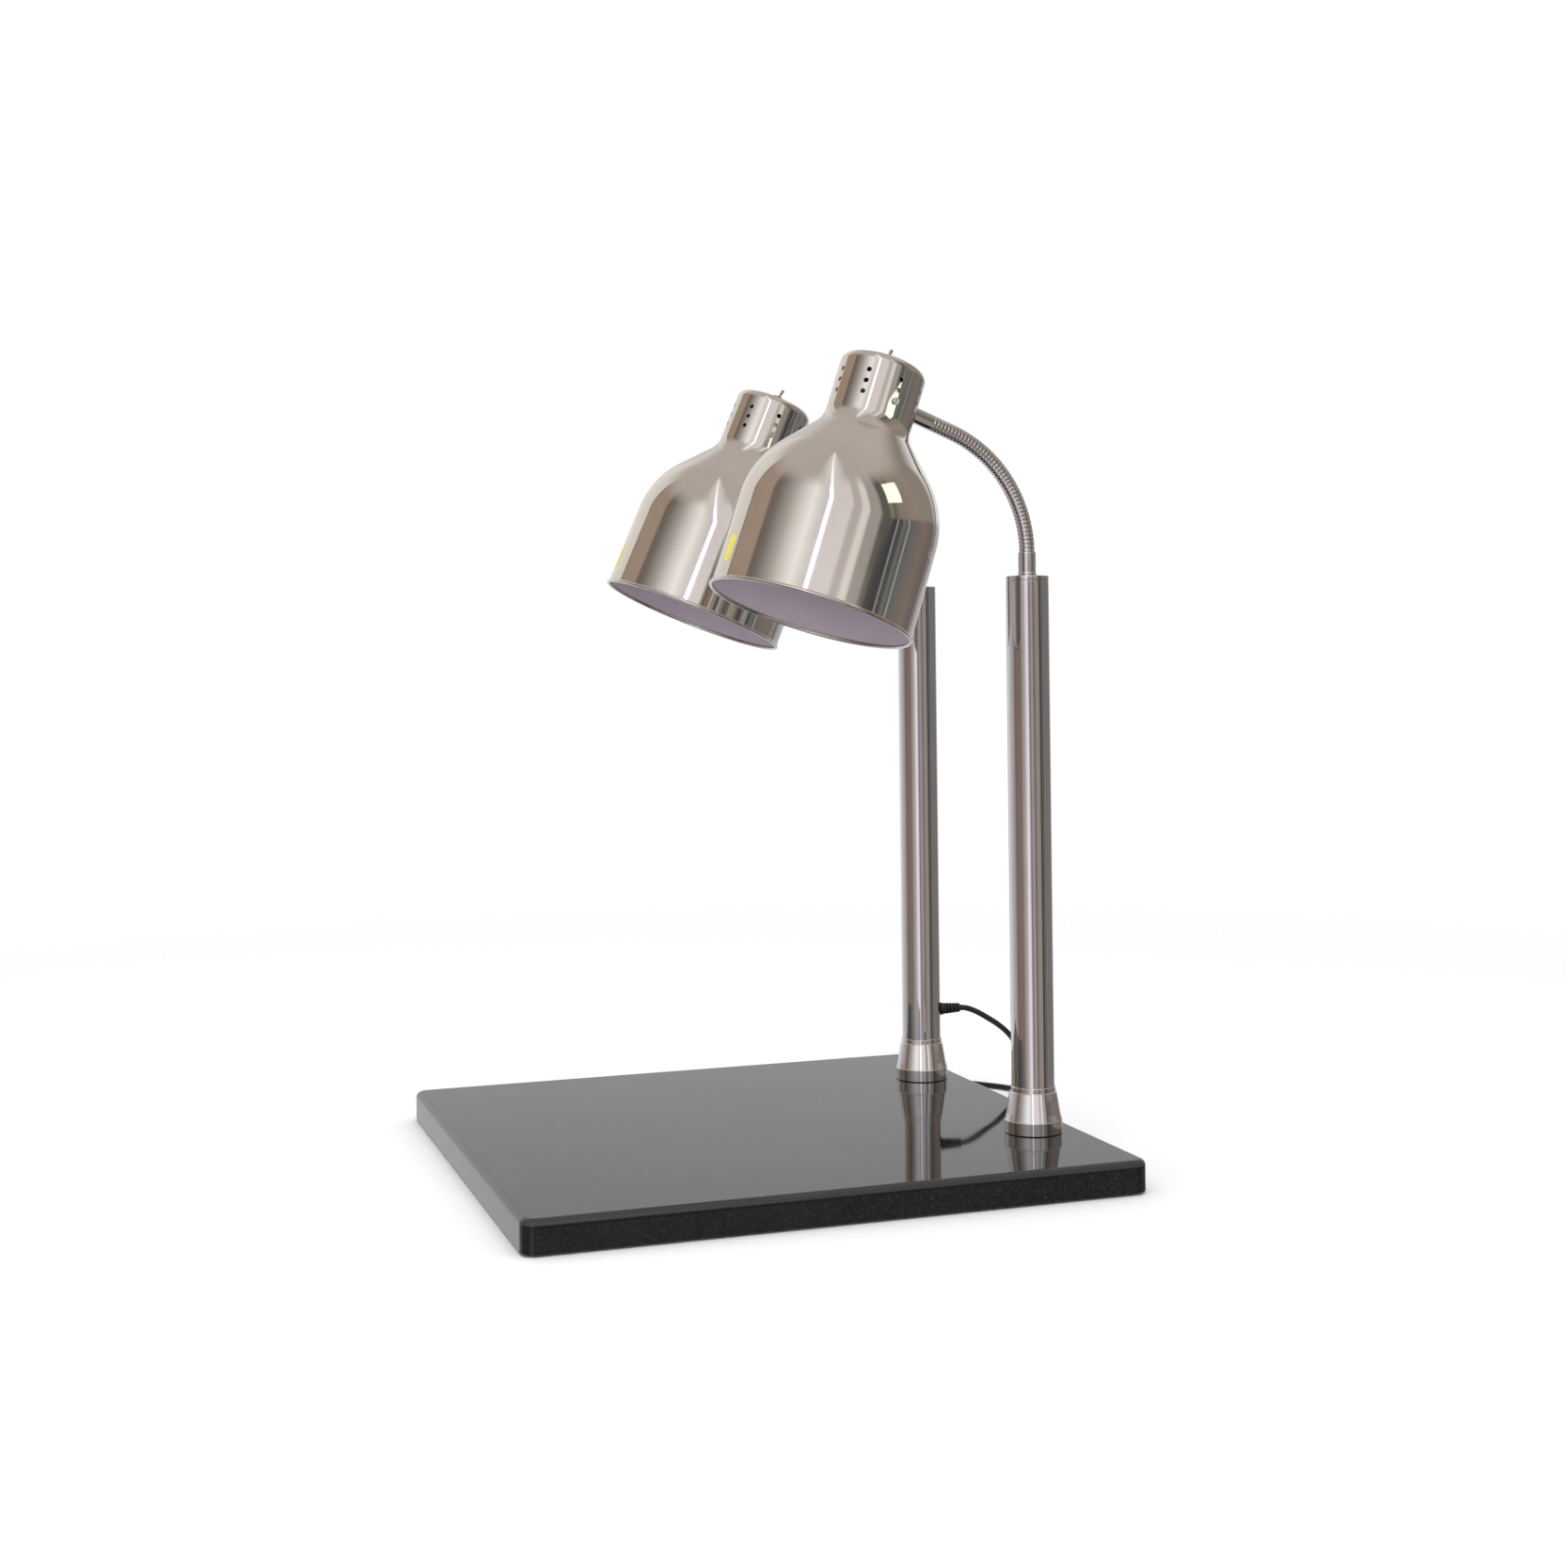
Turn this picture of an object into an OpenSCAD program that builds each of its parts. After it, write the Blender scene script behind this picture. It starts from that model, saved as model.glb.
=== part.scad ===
// Twin heat lamp warmer: a polished stone carving slab, two chromed posts at its
// back, and a bell-shaped infrared lamp on a bendable arm on top of each post.
// +Z is up, -Y is the carver's side, +X is the right-hand lamp. The origin is
// on the counter, under the middle of the slab.

/* [Stone base] */
// Width of the slab, left to right
base_w = 600; // [480:5:700]
// Depth of the slab, front to back
base_d = 600; // [480:5:700]
// Thickness of the slab
base_t = 30; // [24:1:40]
// Rounding of the slab's top edges
base_edge_r = 6; // [2:0.5:8]
// Radius of the slab's four corners, seen from above
base_corner_r = 14; // [6:1:30]
// How far the rubber feet hold the slab off the counter
foot_h = 2.5; // [1:0.5:8]
// Radius of a rubber foot
foot_r = 15; // [10:1:25]
// Distance of the feet from the slab's sides
foot_inset = 45; // [30:5:90]

/* [Posts] */
// Distance between the two posts
post_spacing = 296; // [270:2:340]
// Distance of the posts from the slab's back side
post_inset = 50; // [40:1:80]
// Top of the posts above the slab
post_h = 557.5; // [450:0.5:620]
// Outer radius of a post
post_r = 21.5; // [18:0.5:25]
// Wall of a post
post_wall = 1.5; // [1:0.1:3]
// Height of the turned cap that closes a post
cap_h = 4.6; // [3:0.1:8]
// Radius of the flared collar at the foot of a post
collar_r = 29; // [26:0.5:34]
// Height of the straight band at the bottom of the collar
collar_band_h = 13.5; // [8:0.5:16]
// Height of the collar's cone above its band
collar_cone_h = 27.5; // [20:0.5:34]
// Height of the lip at the top of the collar
collar_lip_h = 5.5; // [3:0.5:8]

/* [Flexible arms] */
// Outer radius of the corrugated arm
arm_r = 7.8; // [6:0.1:9]
// Radius of the wire way through the arm
arm_bore_r = 4.4; // [3:0.1:5]
// Length of each of the arm's four links
link_len = 39; // [34:0.5:46]
// Radius of the sleeve on the post cap
sleeve_r = 8.8; // [8:0.1:11]
// Height of the sleeve on the post cap
sleeve_h = 24; // [18:0.5:30]
// Smooth end of the arm, from the last link to the lamp's axis
tail_len = 92; // [84:0.5:100]
// Sideways turn of the right arm, outwards
right_turn = 9.5; // [0:0.5:12]
// Sideways turn of the left arm, outwards
left_turn = 3; // [0:0.5:12]

/* [Lamps] */
// Height of a shade from its rim to its top
shade_h = 255.5; // [240:0.5:280]
// Radius of a shade just above its rim
mouth_r = 99; // [94:0.5:104]
// Radius of a shade where its shoulder starts
body_r = 98; // [92:0.5:102]
// Height at which the shoulder starts
shoulder_s = 90; // [80:1:100]
// Radius of the rounded shoulder
shoulder_r = 91; // [80:1:96]
// Steepest slope of the shoulder, from the lamp's axis
slope = 41.3; // [38:0.1:45]
// Radius of the neck
neck_r = 42.4; // [40:0.1:46]
// Radius of the hollow blend between shoulder and neck
blend_r = 26; // [16:1:32]
// Rounding of the neck's top edge
top_edge_r = 8.5; // [4:0.5:12]
// Sheet thickness of a shade
sheet = 1; // [0.8:0.1:1.6]
// Radius of the rolled bead round the rim
bead_r = 1.7; // [1:0.1:2.5]
// Height on the lamp's axis at which the arm enters the neck
entry_s = 222; // [216:0.5:226]
// Radius of a vent hole
vent_r = 2.5; // [1.5:0.1:3]
// Height of the lowest row of vent holes
vent_s = 212.4; // [210:0.2:216]
// Distance between two vent holes in a column
vent_pitch = 11.1; // [9:0.1:12]
// Widest radius of the bulb
bulb_r = 62.5; // [58:0.5:64]
// Recess of the bulb's face inside the rim
bulb_recess = 38; // [34:1:40]

/* [Mains cord] */
// Outer radius of the mains cord
cord_r = 3.2; // [2.5:0.1:3.5]
// Height of the cord's exit above the slab
exit_h = 77; // [60:1:120]

/* [Hidden] */
$fn = 48;

right = 1;
left = -1;
eps = 0.01;
gap = 0.05;
base_top = foot_h + base_t;
post_x = post_spacing / 2;
post_y = base_d / 2 - post_inset;
post_top = base_top + post_h;
arm_start = post_top + sleeve_h;

// Bend of each link of an arm at rest, in degrees, from the post to the lamp
right_bends = [19.5, 18.5, 17, 15.5];
left_bends = [22.5, 18.5, 15, 11.5];
// Gap of the ball joints between links, and depth of a ball's root in its link
ball_gap = 0.25;
root_h = 1.5;
// Threaded nipple at the lamp's end of an arm
nipple_r = 5;
nipple_bore_r = 3.6;
nipple_in = 33;

// Bolt, washer and wire way under each post
bolt_r = 5;
bolt_hole_r = 5.5;
bolt_head_r = 9.8;
bolt_head_h = 6.4;
washer_r = 10.5;
washer_t = 2;
pocket_r = 16;
pocket_h = 12;
way_offset = 14;
way_r = 4.5;
channel_w = 12;
channel_h = 9;
cover_w = 20;
cover_t = 1.5;
wire_r = 2.6;
foot_plug_h = 16;
foot_recess = 1;

// Turned parts at the top of a post
pivot_r = 6;
pivot_clear = 0.05;
cap_plug_h = 14;

// Pieces inside the neck of a lamp
holder_r = 20;
holder_s = 191;
holder_h = 40;
holder_bore_r = 14;
bracket_t = 1.5;
bracket_w = 16;
bracket_reach = 39.9;
tab_s = 206;
screw_r = 1.6;
switch_w = 13;
switch_l = 20;
switch_h = 18;
bushing_r = 5.6;
bushing_bore_r = 2.6;
bushing_h = 7.5;
bulb_glass_h = 153;
bulb_wall = 1;
lever_tilt = 11;
lever_r = 1.4;
lever_h = 17.5;

// Cord: the route from the strain relief to the coil, and from the coil to the plug
relief_y = post_y + post_r;
exit_hole_r = 5;
relief_len = 25;
relief_r = 7;
relief_tip_r = 5;
relief_core_r = 4.4;
relief_slots = [7.5:4:20];
relief_slot_w = 1.3;
route = [
    [-148, 297, 109.5], [-148, 307, 108], [-148, 319, 103], [-148, 332, 95.5],
    [-148, 345, 87], [-149, 357, 77], [-150, 367, 65], [-151, 375, 51],
    [-153, 381, 37], [-157, 385, 23], [-164, 386, 12], [-174, 384, 5.6],
    [-187, 379, 3.7], [-202, 371, 3.4], [-217, 360, 3.4], [-231, 349, 3.4],
    [-246, 339, 3.4], [-262, 331, 3.4], [-279, 328, 3.4], [-291, 325, 3.4],
    [-300, 318, 3.4], [-305, 309, 3.4], [-306.5, 298, 3.4], [-306.5, 280, 3.4],
    [-306.5, 264, 3.4], [-306.5, 250, 3.4]
];
tail_route = [
    [-312.9, 250, 14.6], [-313, 238, 15.3], [-313.4, 226, 14], [-314.2, 214, 12],
    [-315.2, 203, 11.2], [-316, 192, 11], [-316, 184.1, 11]
];
cord_sides = 10;
steps_per_span = 3;
coil_centre = [-348, 250];
coil_outer_r = 44.8;
coil_inner_r = 25.4;
coil_layer_2_r = [28.6, 41.6];
coil_h = 12.1;
coil_first_h = 6.4;
tie_w = 9;
tie_t = 1;
tie_clear = 0.3;
plug_at = [-316, 184, 0];
plug_w = 26;
plug_l = 36;
plug_h = 22;
plug_nose = 8;
pin_len = 17;
blade_w = 6.4;
blade_t = 1.5;
blade_gap = 12.7;
earth_r = 2.4;

chrome = [0.80, 0.80, 0.81];
steel = [0.74, 0.73, 0.71];
granite = [0.10, 0.10, 0.11];
black = [0.05, 0.05, 0.05];
ceramic = [0.93, 0.92, 0.88];
zinc = [0.62, 0.62, 0.60];
brass = [0.78, 0.64, 0.32];

// ---------- places ----------

function bends(side) = side == right ? right_bends : left_bends;
function turn(side) = side == right ? right_turn : -left_turn;

module at_post(side) {
    translate([side * post_x, post_y, 0]) children();
}

// The frame of an arm at the start of its link number i, counted from 0
module at_link(side, i) {
    if (i == 0) {
        at_post(side) rotate([0, 0, turn(side)]) translate([0, 0, arm_start]) children();
    } else {
        bend_r = link_len / (bends(side)[i - 1] * PI / 180);
        at_link(side, i - 1)
            translate([0, -bend_r, 0]) rotate([bends(side)[i - 1], 0, 0]) translate([0, bend_r, 0])
                children();
    }
}

// The frame of a lamp: its origin in the middle of the rim, +Z up its own axis,
// and +Y towards the arm
module at_lamp(side) {
    at_link(side, 4) translate([0, 0, tail_len]) rotate([-90, 0, 0]) translate([0, 0, -entry_s])
        children();
}

// ---------- base ----------

module rounded_plan(w, d, r) {
    square([w - 2 * r, d], center = true);
    square([w, d - 2 * r], center = true);
    for (x = [-1, 1], y = [-1, 1]) translate([x * (w / 2 - r), y * (d / 2 - r)]) circle(r = r);
}

// A section of the slab with its two top corners rounded
module eased_section(w, h, r) {
    translate([-w / 2, 0]) square([w, h - r]);
    translate([-w / 2 + r, 0]) square([w - 2 * r, h]);
    for (x = [-1, 1]) translate([x * (w / 2 - r), h - r]) circle(r = r);
}

// The section of a corner of the slab, from its axis outwards
module eased_corner(w, h, r) {
    square([w, h - r]);
    square([w - r, h]);
    translate([w - r, h - r]) circle(r = r);
}

module slab_blank() {
    flat_w = base_w - 2 * base_corner_r;
    flat_d = base_d - 2 * base_corner_r;
    rotate([90, 0, 0]) translate([0, 0, -flat_d / 2])
        linear_extrude(flat_d) eased_section(base_w, base_t, base_edge_r);
    rotate([90, 0, 90]) translate([0, 0, -flat_w / 2])
        linear_extrude(flat_w) eased_section(base_d, base_t, base_edge_r);
    for (x = [-1, 1], y = [-1, 1]) translate([x * flat_w / 2, y * flat_d / 2, 0])
        rotate_extrude() eased_corner(base_corner_r, base_t, base_edge_r);
}

module stone_base() {
    way_x = post_x - way_offset;
    color(granite) translate([0, 0, foot_h]) difference() {
        slab_blank();
        for (x = [-1, 1]) {
            translate([x * post_x, post_y, -1]) {
                cylinder(r = bolt_hole_r, h = base_t + 2);
                cylinder(r = pocket_r, h = pocket_h + 1);
            }
            translate([x * way_x, post_y, -1]) cylinder(r = way_r, h = base_t + 2);
        }
        translate([-way_x, post_y - channel_w / 2, -1]) cube([2 * way_x, channel_w, channel_h + 1]);
        translate([-way_x, post_y - cover_w / 2, -1]) cube([2 * way_x, cover_w, cover_t + gap + 1]);
        for (x = [-1, 1], y = [-1, 1])
            translate([x * (base_w / 2 - foot_inset), y * (base_d / 2 - foot_inset), -1])
                cylinder(r = foot_r + gap, h = foot_recess + 1);
    }
}

module rubber_feet() {
    color(black) for (x = [-1, 1], y = [-1, 1])
        translate([x * (base_w / 2 - foot_inset), y * (base_d / 2 - foot_inset), 0])
            cylinder(r = foot_r, h = foot_h + foot_recess);
}

module post_bolts() {
    seat = foot_h + pocket_h - washer_t;
    color(zinc) for (x = [-1, 1]) translate([x * post_x, post_y, 0]) {
        translate([0, 0, seat - bolt_head_h]) difference() {
            cylinder(r = bolt_head_r, h = bolt_head_h, $fn = 6);
            translate([0, 0, -1]) cylinder(r = bolt_r, h = 1.6);
        }
        translate([0, 0, seat - eps]) cylinder(r = bolt_r, h = base_top + foot_plug_h - 3 - seat);
    }
}

module post_washers() {
    color(zinc) for (x = [-1, 1])
        translate([x * post_x, post_y, foot_h + pocket_h - washer_t]) difference() {
            cylinder(r = washer_r, h = washer_t);
            translate([0, 0, -1]) cylinder(r = bolt_r + 0.2, h = washer_t + 2);
        }
}

// The wire that feeds the right post from the left one, in a channel under the slab
module link_cable() {
    way_x = post_x - way_offset;
    level = foot_h + channel_h - wire_r - 1;
    rise_r = 5;
    color(black) {
        translate([-way_x + rise_r, post_y, level]) rotate([0, 90, 0])
            cylinder(r = wire_r, h = 2 * (way_x - rise_r));
        for (x = [-1, 1]) {
            translate([x * (way_x - rise_r), post_y, level + rise_r])
                rotate([90, 0, 0]) rotate([0, 0, x > 0 ? -90 : 180])
                    rotate_extrude(angle = 90) translate([rise_r, 0]) circle(r = wire_r);
            translate([x * way_x, post_y, level + rise_r])
                cylinder(r = wire_r, h = base_top + foot_plug_h + 6 - level - rise_r);
        }
    }
}

module channel_cover() {
    way_x = post_x - way_offset;
    inner = way_x - pocket_r;
    color(zinc) translate([-inner, post_y - cover_w / 2 + gap, foot_h])
        cube([2 * inner, cover_w - 2 * gap, cover_t]);
}

// ---------- posts ----------

module post(side) {
    color(chrome) at_post(side) difference() {
        translate([0, 0, base_top + gap]) cylinder(r = post_r, h = post_h - cap_h - 2 * gap);
        translate([0, 0, base_top - 1]) cylinder(r = post_r - post_wall, h = post_h);
        if (side == left)
            translate([0, 0, base_top + exit_h]) rotate([-90, 0, 0])
            cylinder(r = exit_hole_r, h = post_r + 2);
    }
}

// Steel plug welded into the bottom of a post, tapped for the bolt
module post_foot(side) {
    color(zinc) at_post(side) difference() {
        translate([0, 0, base_top + gap]) cylinder(r = post_r - post_wall - gap, h = foot_plug_h);
        translate([0, 0, base_top - 1]) cylinder(r = bolt_r + gap, h = foot_plug_h + 2);
        translate([-side * way_offset, 0, base_top - 1]) cylinder(r = wire_r + 0.6, h = foot_plug_h + 2);
    }
}

module post_collar(side) {
    lip_r = post_r + 1.6;
    bore_r = post_r + 0.1;
    cone_top = collar_band_h + collar_cone_h;
    chamfer = 0.8;
    color(chrome) at_post(side) translate([0, 0, base_top + gap]) rotate_extrude() polygon([
        [bore_r, 0], [collar_r - chamfer, 0], [collar_r, chamfer],
        [collar_r, collar_band_h - chamfer], [collar_r - 0.7, collar_band_h],
        [collar_r - 2.4, collar_band_h + 8], [lip_r + 1.5, cone_top - 7], [lip_r + 0.2, cone_top],
        [lip_r - 0.7, cone_top + 0.5], [lip_r - 0.7, cone_top + collar_lip_h - 0.6],
        [lip_r - 1.2, cone_top + collar_lip_h], [bore_r, cone_top + collar_lip_h]
    ]);
}

module post_cap(side) {
    color(chrome) at_post(side) difference() {
        union() {
            translate([0, 0, post_top - cap_h]) rotate_extrude() polygon([
                [0, 0], [post_r, 0], [post_r, cap_h - 0.8], [post_r - 0.8, cap_h], [0, cap_h]
            ]);
            translate([0, 0, post_top - cap_h - cap_plug_h])
                cylinder(r = post_r - post_wall - gap, h = cap_plug_h + eps);
        }
        translate([0, 0, post_top - cap_h - cap_plug_h - 1])
            cylinder(r = pivot_r + pivot_clear, h = cap_h + cap_plug_h + 2);
    }
}

module post_wire(side) {
    low = side == left ? base_top + exit_h + 8 : base_top + foot_plug_h + 8;
    color(black) at_post(side) translate([0, 0, low])
        cylinder(r = wire_r, h = post_top - cap_h - cap_plug_h - 6 - low);
}

// ---------- arms ----------

// Sleeve that turns in the post cap and holds the arm's lower end
module arm_sleeve(side) {
    edge = 0.8;
    color(chrome) at_post(side) rotate([0, 0, turn(side)]) difference() {
        union() {
            translate([0, 0, post_top + 0.1]) rotate_extrude() polygon([
                [0, 0], [sleeve_r - edge, 0], [sleeve_r, edge], [sleeve_r, 3],
                [sleeve_r - 0.5, 3.6], [sleeve_r - 0.5, sleeve_h - edge - 0.1],
                [sleeve_r - 0.5 - edge, sleeve_h - 0.1], [0, sleeve_h - 0.1]
            ]);
            translate([0, 0, post_top - cap_h - cap_plug_h])
                cylinder(r = pivot_r, h = cap_h + cap_plug_h + 1);
        }
        translate([0, 0, post_top - cap_h - cap_plug_h - 1])
            cylinder(r = arm_bore_r, h = cap_h + cap_plug_h + sleeve_h + 2);
    }
}

// One link of an arm: a bent tube with a ball at its end and a cup at its start
module arm_link(side, i) {
    bend = bends(side)[i];
    bend_r = link_len / (bend * PI / 180);
    color(chrome) {
        difference() {
            at_link(side, i) translate([0, -bend_r, 0]) rotate([90, 0, 90])
                rotate_extrude(angle = bend, $fn = 96) translate([bend_r, 0]) difference() {
                    circle(r = arm_r);
                    circle(r = arm_bore_r);
                }
            if (i > 0) at_link(side, i) sphere(r = arm_r + ball_gap);
        }
        if (i < 3) at_link(side, i + 1) rotate_extrude() ball_section();
    }
}

// Half section of a link's ball, with its way for the wire and its root in the link
module ball_section() {
    way = arm_bore_r + 0.1;
    difference() {
        circle(r = arm_r - gap);
        translate([-arm_r - 1, -arm_r - 1]) square([arm_r + 1 + way, 2 * arm_r + 2]);
        translate([-arm_r - 1, -arm_r - 1]) square([2 * arm_r + 2, arm_r + 1]);
    }
    translate([way + 0.6, -root_h]) square([arm_r - way - 1.3, root_h + 1]);
}

// Smooth end of an arm, with the threaded nipple that goes into the neck
module arm_tail(side) {
    clear = 20;
    color(chrome) difference() {
        at_link(side, 4) difference() {
            union() {
                translate([0, 0, gap]) cylinder(r = arm_r, h = tail_len - neck_r + 1);
                cylinder(r = nipple_r, h = tail_len - nipple_in);
            }
            translate([0, 0, -1]) cylinder(r = nipple_bore_r, h = tail_len);
        }
        at_lamp(side) translate([0, 0, entry_s - clear]) difference() {
            cylinder(r = neck_r + gap, h = 2 * clear);
            translate([0, 0, clear]) rotate([-90, 0, 0]) cylinder(r = nipple_r, h = neck_r + 5);
        }
    }
}

module arm_nut(side) {
    nut_r = 9;
    nut_h = 5;
    seat = 35;
    color(zinc) at_lamp(side) translate([0, seat, entry_s]) rotate([-90, 0, 0]) difference() {
        cylinder(r = nut_r, h = nut_h, $fn = 6);
        translate([0, 0, -1]) cylinder(r = nipple_r + gap, h = nut_h + 2);
    }
}

// ---------- lamps ----------

// Where the straight slope of the shoulder starts, and where the neck's blend ends
slope_r = body_r - shoulder_r * (1 - cos(slope));
slope_s = shoulder_s + shoulder_r * sin(slope);
corner_s = slope_s + (slope_r - neck_r) / tan(slope);
blend_s = corner_s + blend_r * tan(slope / 2);

function arc(cx, cy, r, from, to, n) =
    [for (k = [0:n]) let (a = from + (to - from) * k / n) [cx + r * cos(a), cy + r * sin(a)]];

// Outline of the sheet, a distance t inside the outer face, from the rim to the top
function skin(t) = concat(
    [[mouth_r - t, 0]],
    arc(body_r - shoulder_r, shoulder_s, shoulder_r - t, 0, slope, 12),
    arc(neck_r + blend_r, blend_s, blend_r + t, 180 + slope, 180, 8),
    arc(neck_r - top_edge_r, shade_h - top_edge_r, top_edge_r - t, 0, 90, 8),
    [[0, shade_h - t]]
);

function reversed(list) = [for (k = [len(list) - 1:-1:0]) list[k]];

// Columns of vent holes round the neck, with none where the arm comes in
module vents() {
    columns = 8;
    arm_column = columns / 2;
    for (column = [0:columns - 1]) if (column != arm_column)
        rotate([0, 0, column * 360 / columns]) for (row = [0:2])
        translate([0, -neck_r + 5, vent_s + row * vent_pitch]) rotate([90, 0, 0])
            cylinder(r = vent_r, h = 10, $fn = 24);
}

module shade(side) {
    color(steel) at_lamp(side) difference() {
        union() {
            rotate_extrude($fn = 96) polygon(concat(skin(0), reversed(skin(sheet))));
            rotate_extrude($fn = 96) translate([mouth_r, 0]) circle(r = bead_r, $fn = 24);
        }
        vents();
        translate([0, neck_r - 5, entry_s]) rotate([-90, 0, 0]) cylinder(r = nipple_r + 0.1, h = 10);
        translate([0, 0, shade_h - 5]) cylinder(r = bushing_r + 0.1, h = 10);
    }
}

module lampholder(side) {
    color(ceramic) at_lamp(side) translate([0, 0, holder_s]) difference() {
        rotate_extrude() polygon([
            [0, 0], [holder_r - 1, 0], [holder_r, 1], [holder_r, 24], [holder_r - 3, 28],
            [holder_r - 3, holder_h - 1], [holder_r - 4, holder_h], [0, holder_h]
        ]);
        translate([0, 0, -1]) cylinder(r = holder_bore_r, h = 34);
    }
}

module holder_bracket(side) {
    plate_s = holder_s + holder_h + gap;
    color(zinc) at_lamp(side) difference() {
        union() {
            translate([-bracket_reach, -bracket_w / 2, plate_s])
                cube([2 * bracket_reach, bracket_w, bracket_t]);
            for (x = [0, 1]) mirror([x, 0, 0])
                translate([bracket_reach - bracket_t, -bracket_w / 2 + 1, tab_s])
                    cube([bracket_t, bracket_w - 2, plate_s - tab_s + eps]);
        }
        translate([-bracket_reach - 1, 0, vent_s]) rotate([0, 90, 0])
            cylinder(r = screw_r + gap, h = 2 * bracket_reach + 2);
        for (x = [-1, 1]) translate([x * 8, 0, plate_s - 1]) cylinder(r = 2.2, h = bracket_t + 2);
    }
}

module bracket_screws(side) {
    tip = 36;
    head_r = 3.3;
    head_h = 2;
    slot_w = 0.8;
    slot_floor = 1.2;
    color(zinc) at_lamp(side) for (x = [0, 1]) mirror([x, 0, 0])
        translate([tip, 0, vent_s]) rotate([0, 90, 0]) {
            cylinder(r = screw_r, h = neck_r - tip + 1);
            translate([0, 0, neck_r + 0.15 - tip]) difference() {
                cylinder(r = head_r, h = head_h);
                translate([-head_r - 1, -slot_w / 2, slot_floor]) cube([2 * head_r + 2, slot_w, head_h]);
            }
        }
}

// Outline of the bulb's glass, a distance t inside its outer face, from the
// middle of its face to its closed neck
function bulb_skin(t) = concat(
    [[0, t], [20 - t * 0.1, 1.6 + t], [38 - t * 0.2, 6.2 + t], [50 - t * 0.6, 12.4 + t]],
    arc(bulb_r - 22, 32, 22 - t, -52, 34, 8),
    [[52 - t, 62], [44 - t, 78], [34 - t, 95], [26 - t, 108], [20.5 - t, 120], [17.8 - t, 132],
     [17 - t, 142], [16.4 - t, 150 - t * 0.3], [13 - t, bulb_glass_h - t], [0, bulb_glass_h - t]]
);

// Reflector bulb with its face towards the rim
module bulb_glass(side) {
    color([0.86, 0.85, 0.84]) at_lamp(side) translate([0, 0, bulb_recess])
        rotate_extrude($fn = 64) difference() {
            polygon(bulb_skin(0));
            polygon(bulb_skin(bulb_wall));
        }
}

module bulb_cap(side) {
    start = bulb_recess + bulb_glass_h + gap;
    color(brass) at_lamp(side) translate([0, 0, start]) rotate_extrude() polygon([
        [0, 0], [13, 0], [13, 22], [9, 25], [4.5, 26.5], [4.5, 28.5], [0, 28.5]
    ]);
}

module switch_body(side) {
    under = shade_h - sheet - gap;
    color(black) at_lamp(side) {
        translate([-switch_l / 2, -switch_w / 2, under - switch_h])
            cube([switch_l, switch_w, switch_h - 2]);
        difference() {
            translate([0, 0, under - 2 - eps]) cylinder(r = bushing_r, h = 2 + bushing_h + sheet);
            translate([0, 0, under - 1]) cylinder(r = bushing_bore_r, h = bushing_h + 10);
        }
    }
}

module switch_nut(side) {
    nut_r = 8;
    nut_h = 2.4;
    color(chrome) at_lamp(side) translate([0, 0, shade_h + gap]) difference() {
        cylinder(r = nut_r, h = nut_h, $fn = 6);
        translate([0, 0, -1]) cylinder(r = bushing_r + gap, h = nut_h + 2);
    }
}

// Bat lever, tilted towards the arm when the lamp is off
module switch_lever(side) {
    pivot_s = shade_h + bushing_h - 4;
    reach = lever_h - bushing_h + 4;
    color(chrome) at_lamp(side) translate([0, 0, pivot_s]) rotate([-lever_tilt, 0, 0])
        rotate_extrude($fn = 24) polygon(concat(
            [[0, -2], [lever_r - 0.3, -2], [lever_r - 0.2, 2]],
            arc(0, reach - lever_r - 0.3, lever_r + 0.3, 0, 90, 6)
        ));
}

// ---------- cord ----------

module strain_relief() {
    relief_in = 7;
    color(black) translate([-post_x, relief_y, base_top + exit_h]) rotate([-90, 0, 0]) {
        difference() {
            union() {
                translate([0, 0, gap]) rotate_extrude() polygon([
                    [0, 0], [relief_r, 0], [relief_r, 4], [relief_r - 0.5, 4.4],
                    [relief_tip_r + 0.6, relief_len - 1], [relief_tip_r, relief_len - gap],
                    [0, relief_len - gap]
                ]);
                translate([0, 0, -relief_in]) cylinder(r = exit_hole_r - gap, h = relief_in + 2 * gap);
            }
            for (z = relief_slots) translate([0, 0, z]) difference() {
                cylinder(r = relief_r + 2, h = relief_slot_w);
                translate([0, 0, -1]) cylinder(r = relief_core_r, h = relief_slot_w + 2);
            }
        }
    }
}

// A smooth curve through points p, as rings of a tube
function spline(a, b, c, d, t) =
    0.5 * ((2 * b) + (c - a) * t + (2 * a - 5 * b + 4 * c - d) * t * t
    + (3 * b - a - 3 * c + d) * t * t * t);
function clamped(p, k) = p[max(0, min(len(p) - 1, k))];
function smooth(p, n) = concat(
    [for (k = [0:len(p) - 2], j = [0:n - 1])
        spline(clamped(p, k - 1), p[k], p[k + 1], clamped(p, k + 2), j / n)],
    [p[len(p) - 1]]
);
function unit(v) = v / norm(v);
function heading(p, k) = unit(clamped(p, k + 1) - clamped(p, k - 1));
function side_of(v) = unit(abs(v[2]) > 0.9 ? cross(v, [1, 0, 0]) : cross(v, [0, 0, 1]));

// The first sideways vector is carried along the curve, so that the tube never twists
function carried(p, k, u) =
    let (v = heading(p, k), w = unit(u - (u * v) * v))
    k == len(p) - 1 ? [w] : concat([w], carried(p, k + 1, w));

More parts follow.
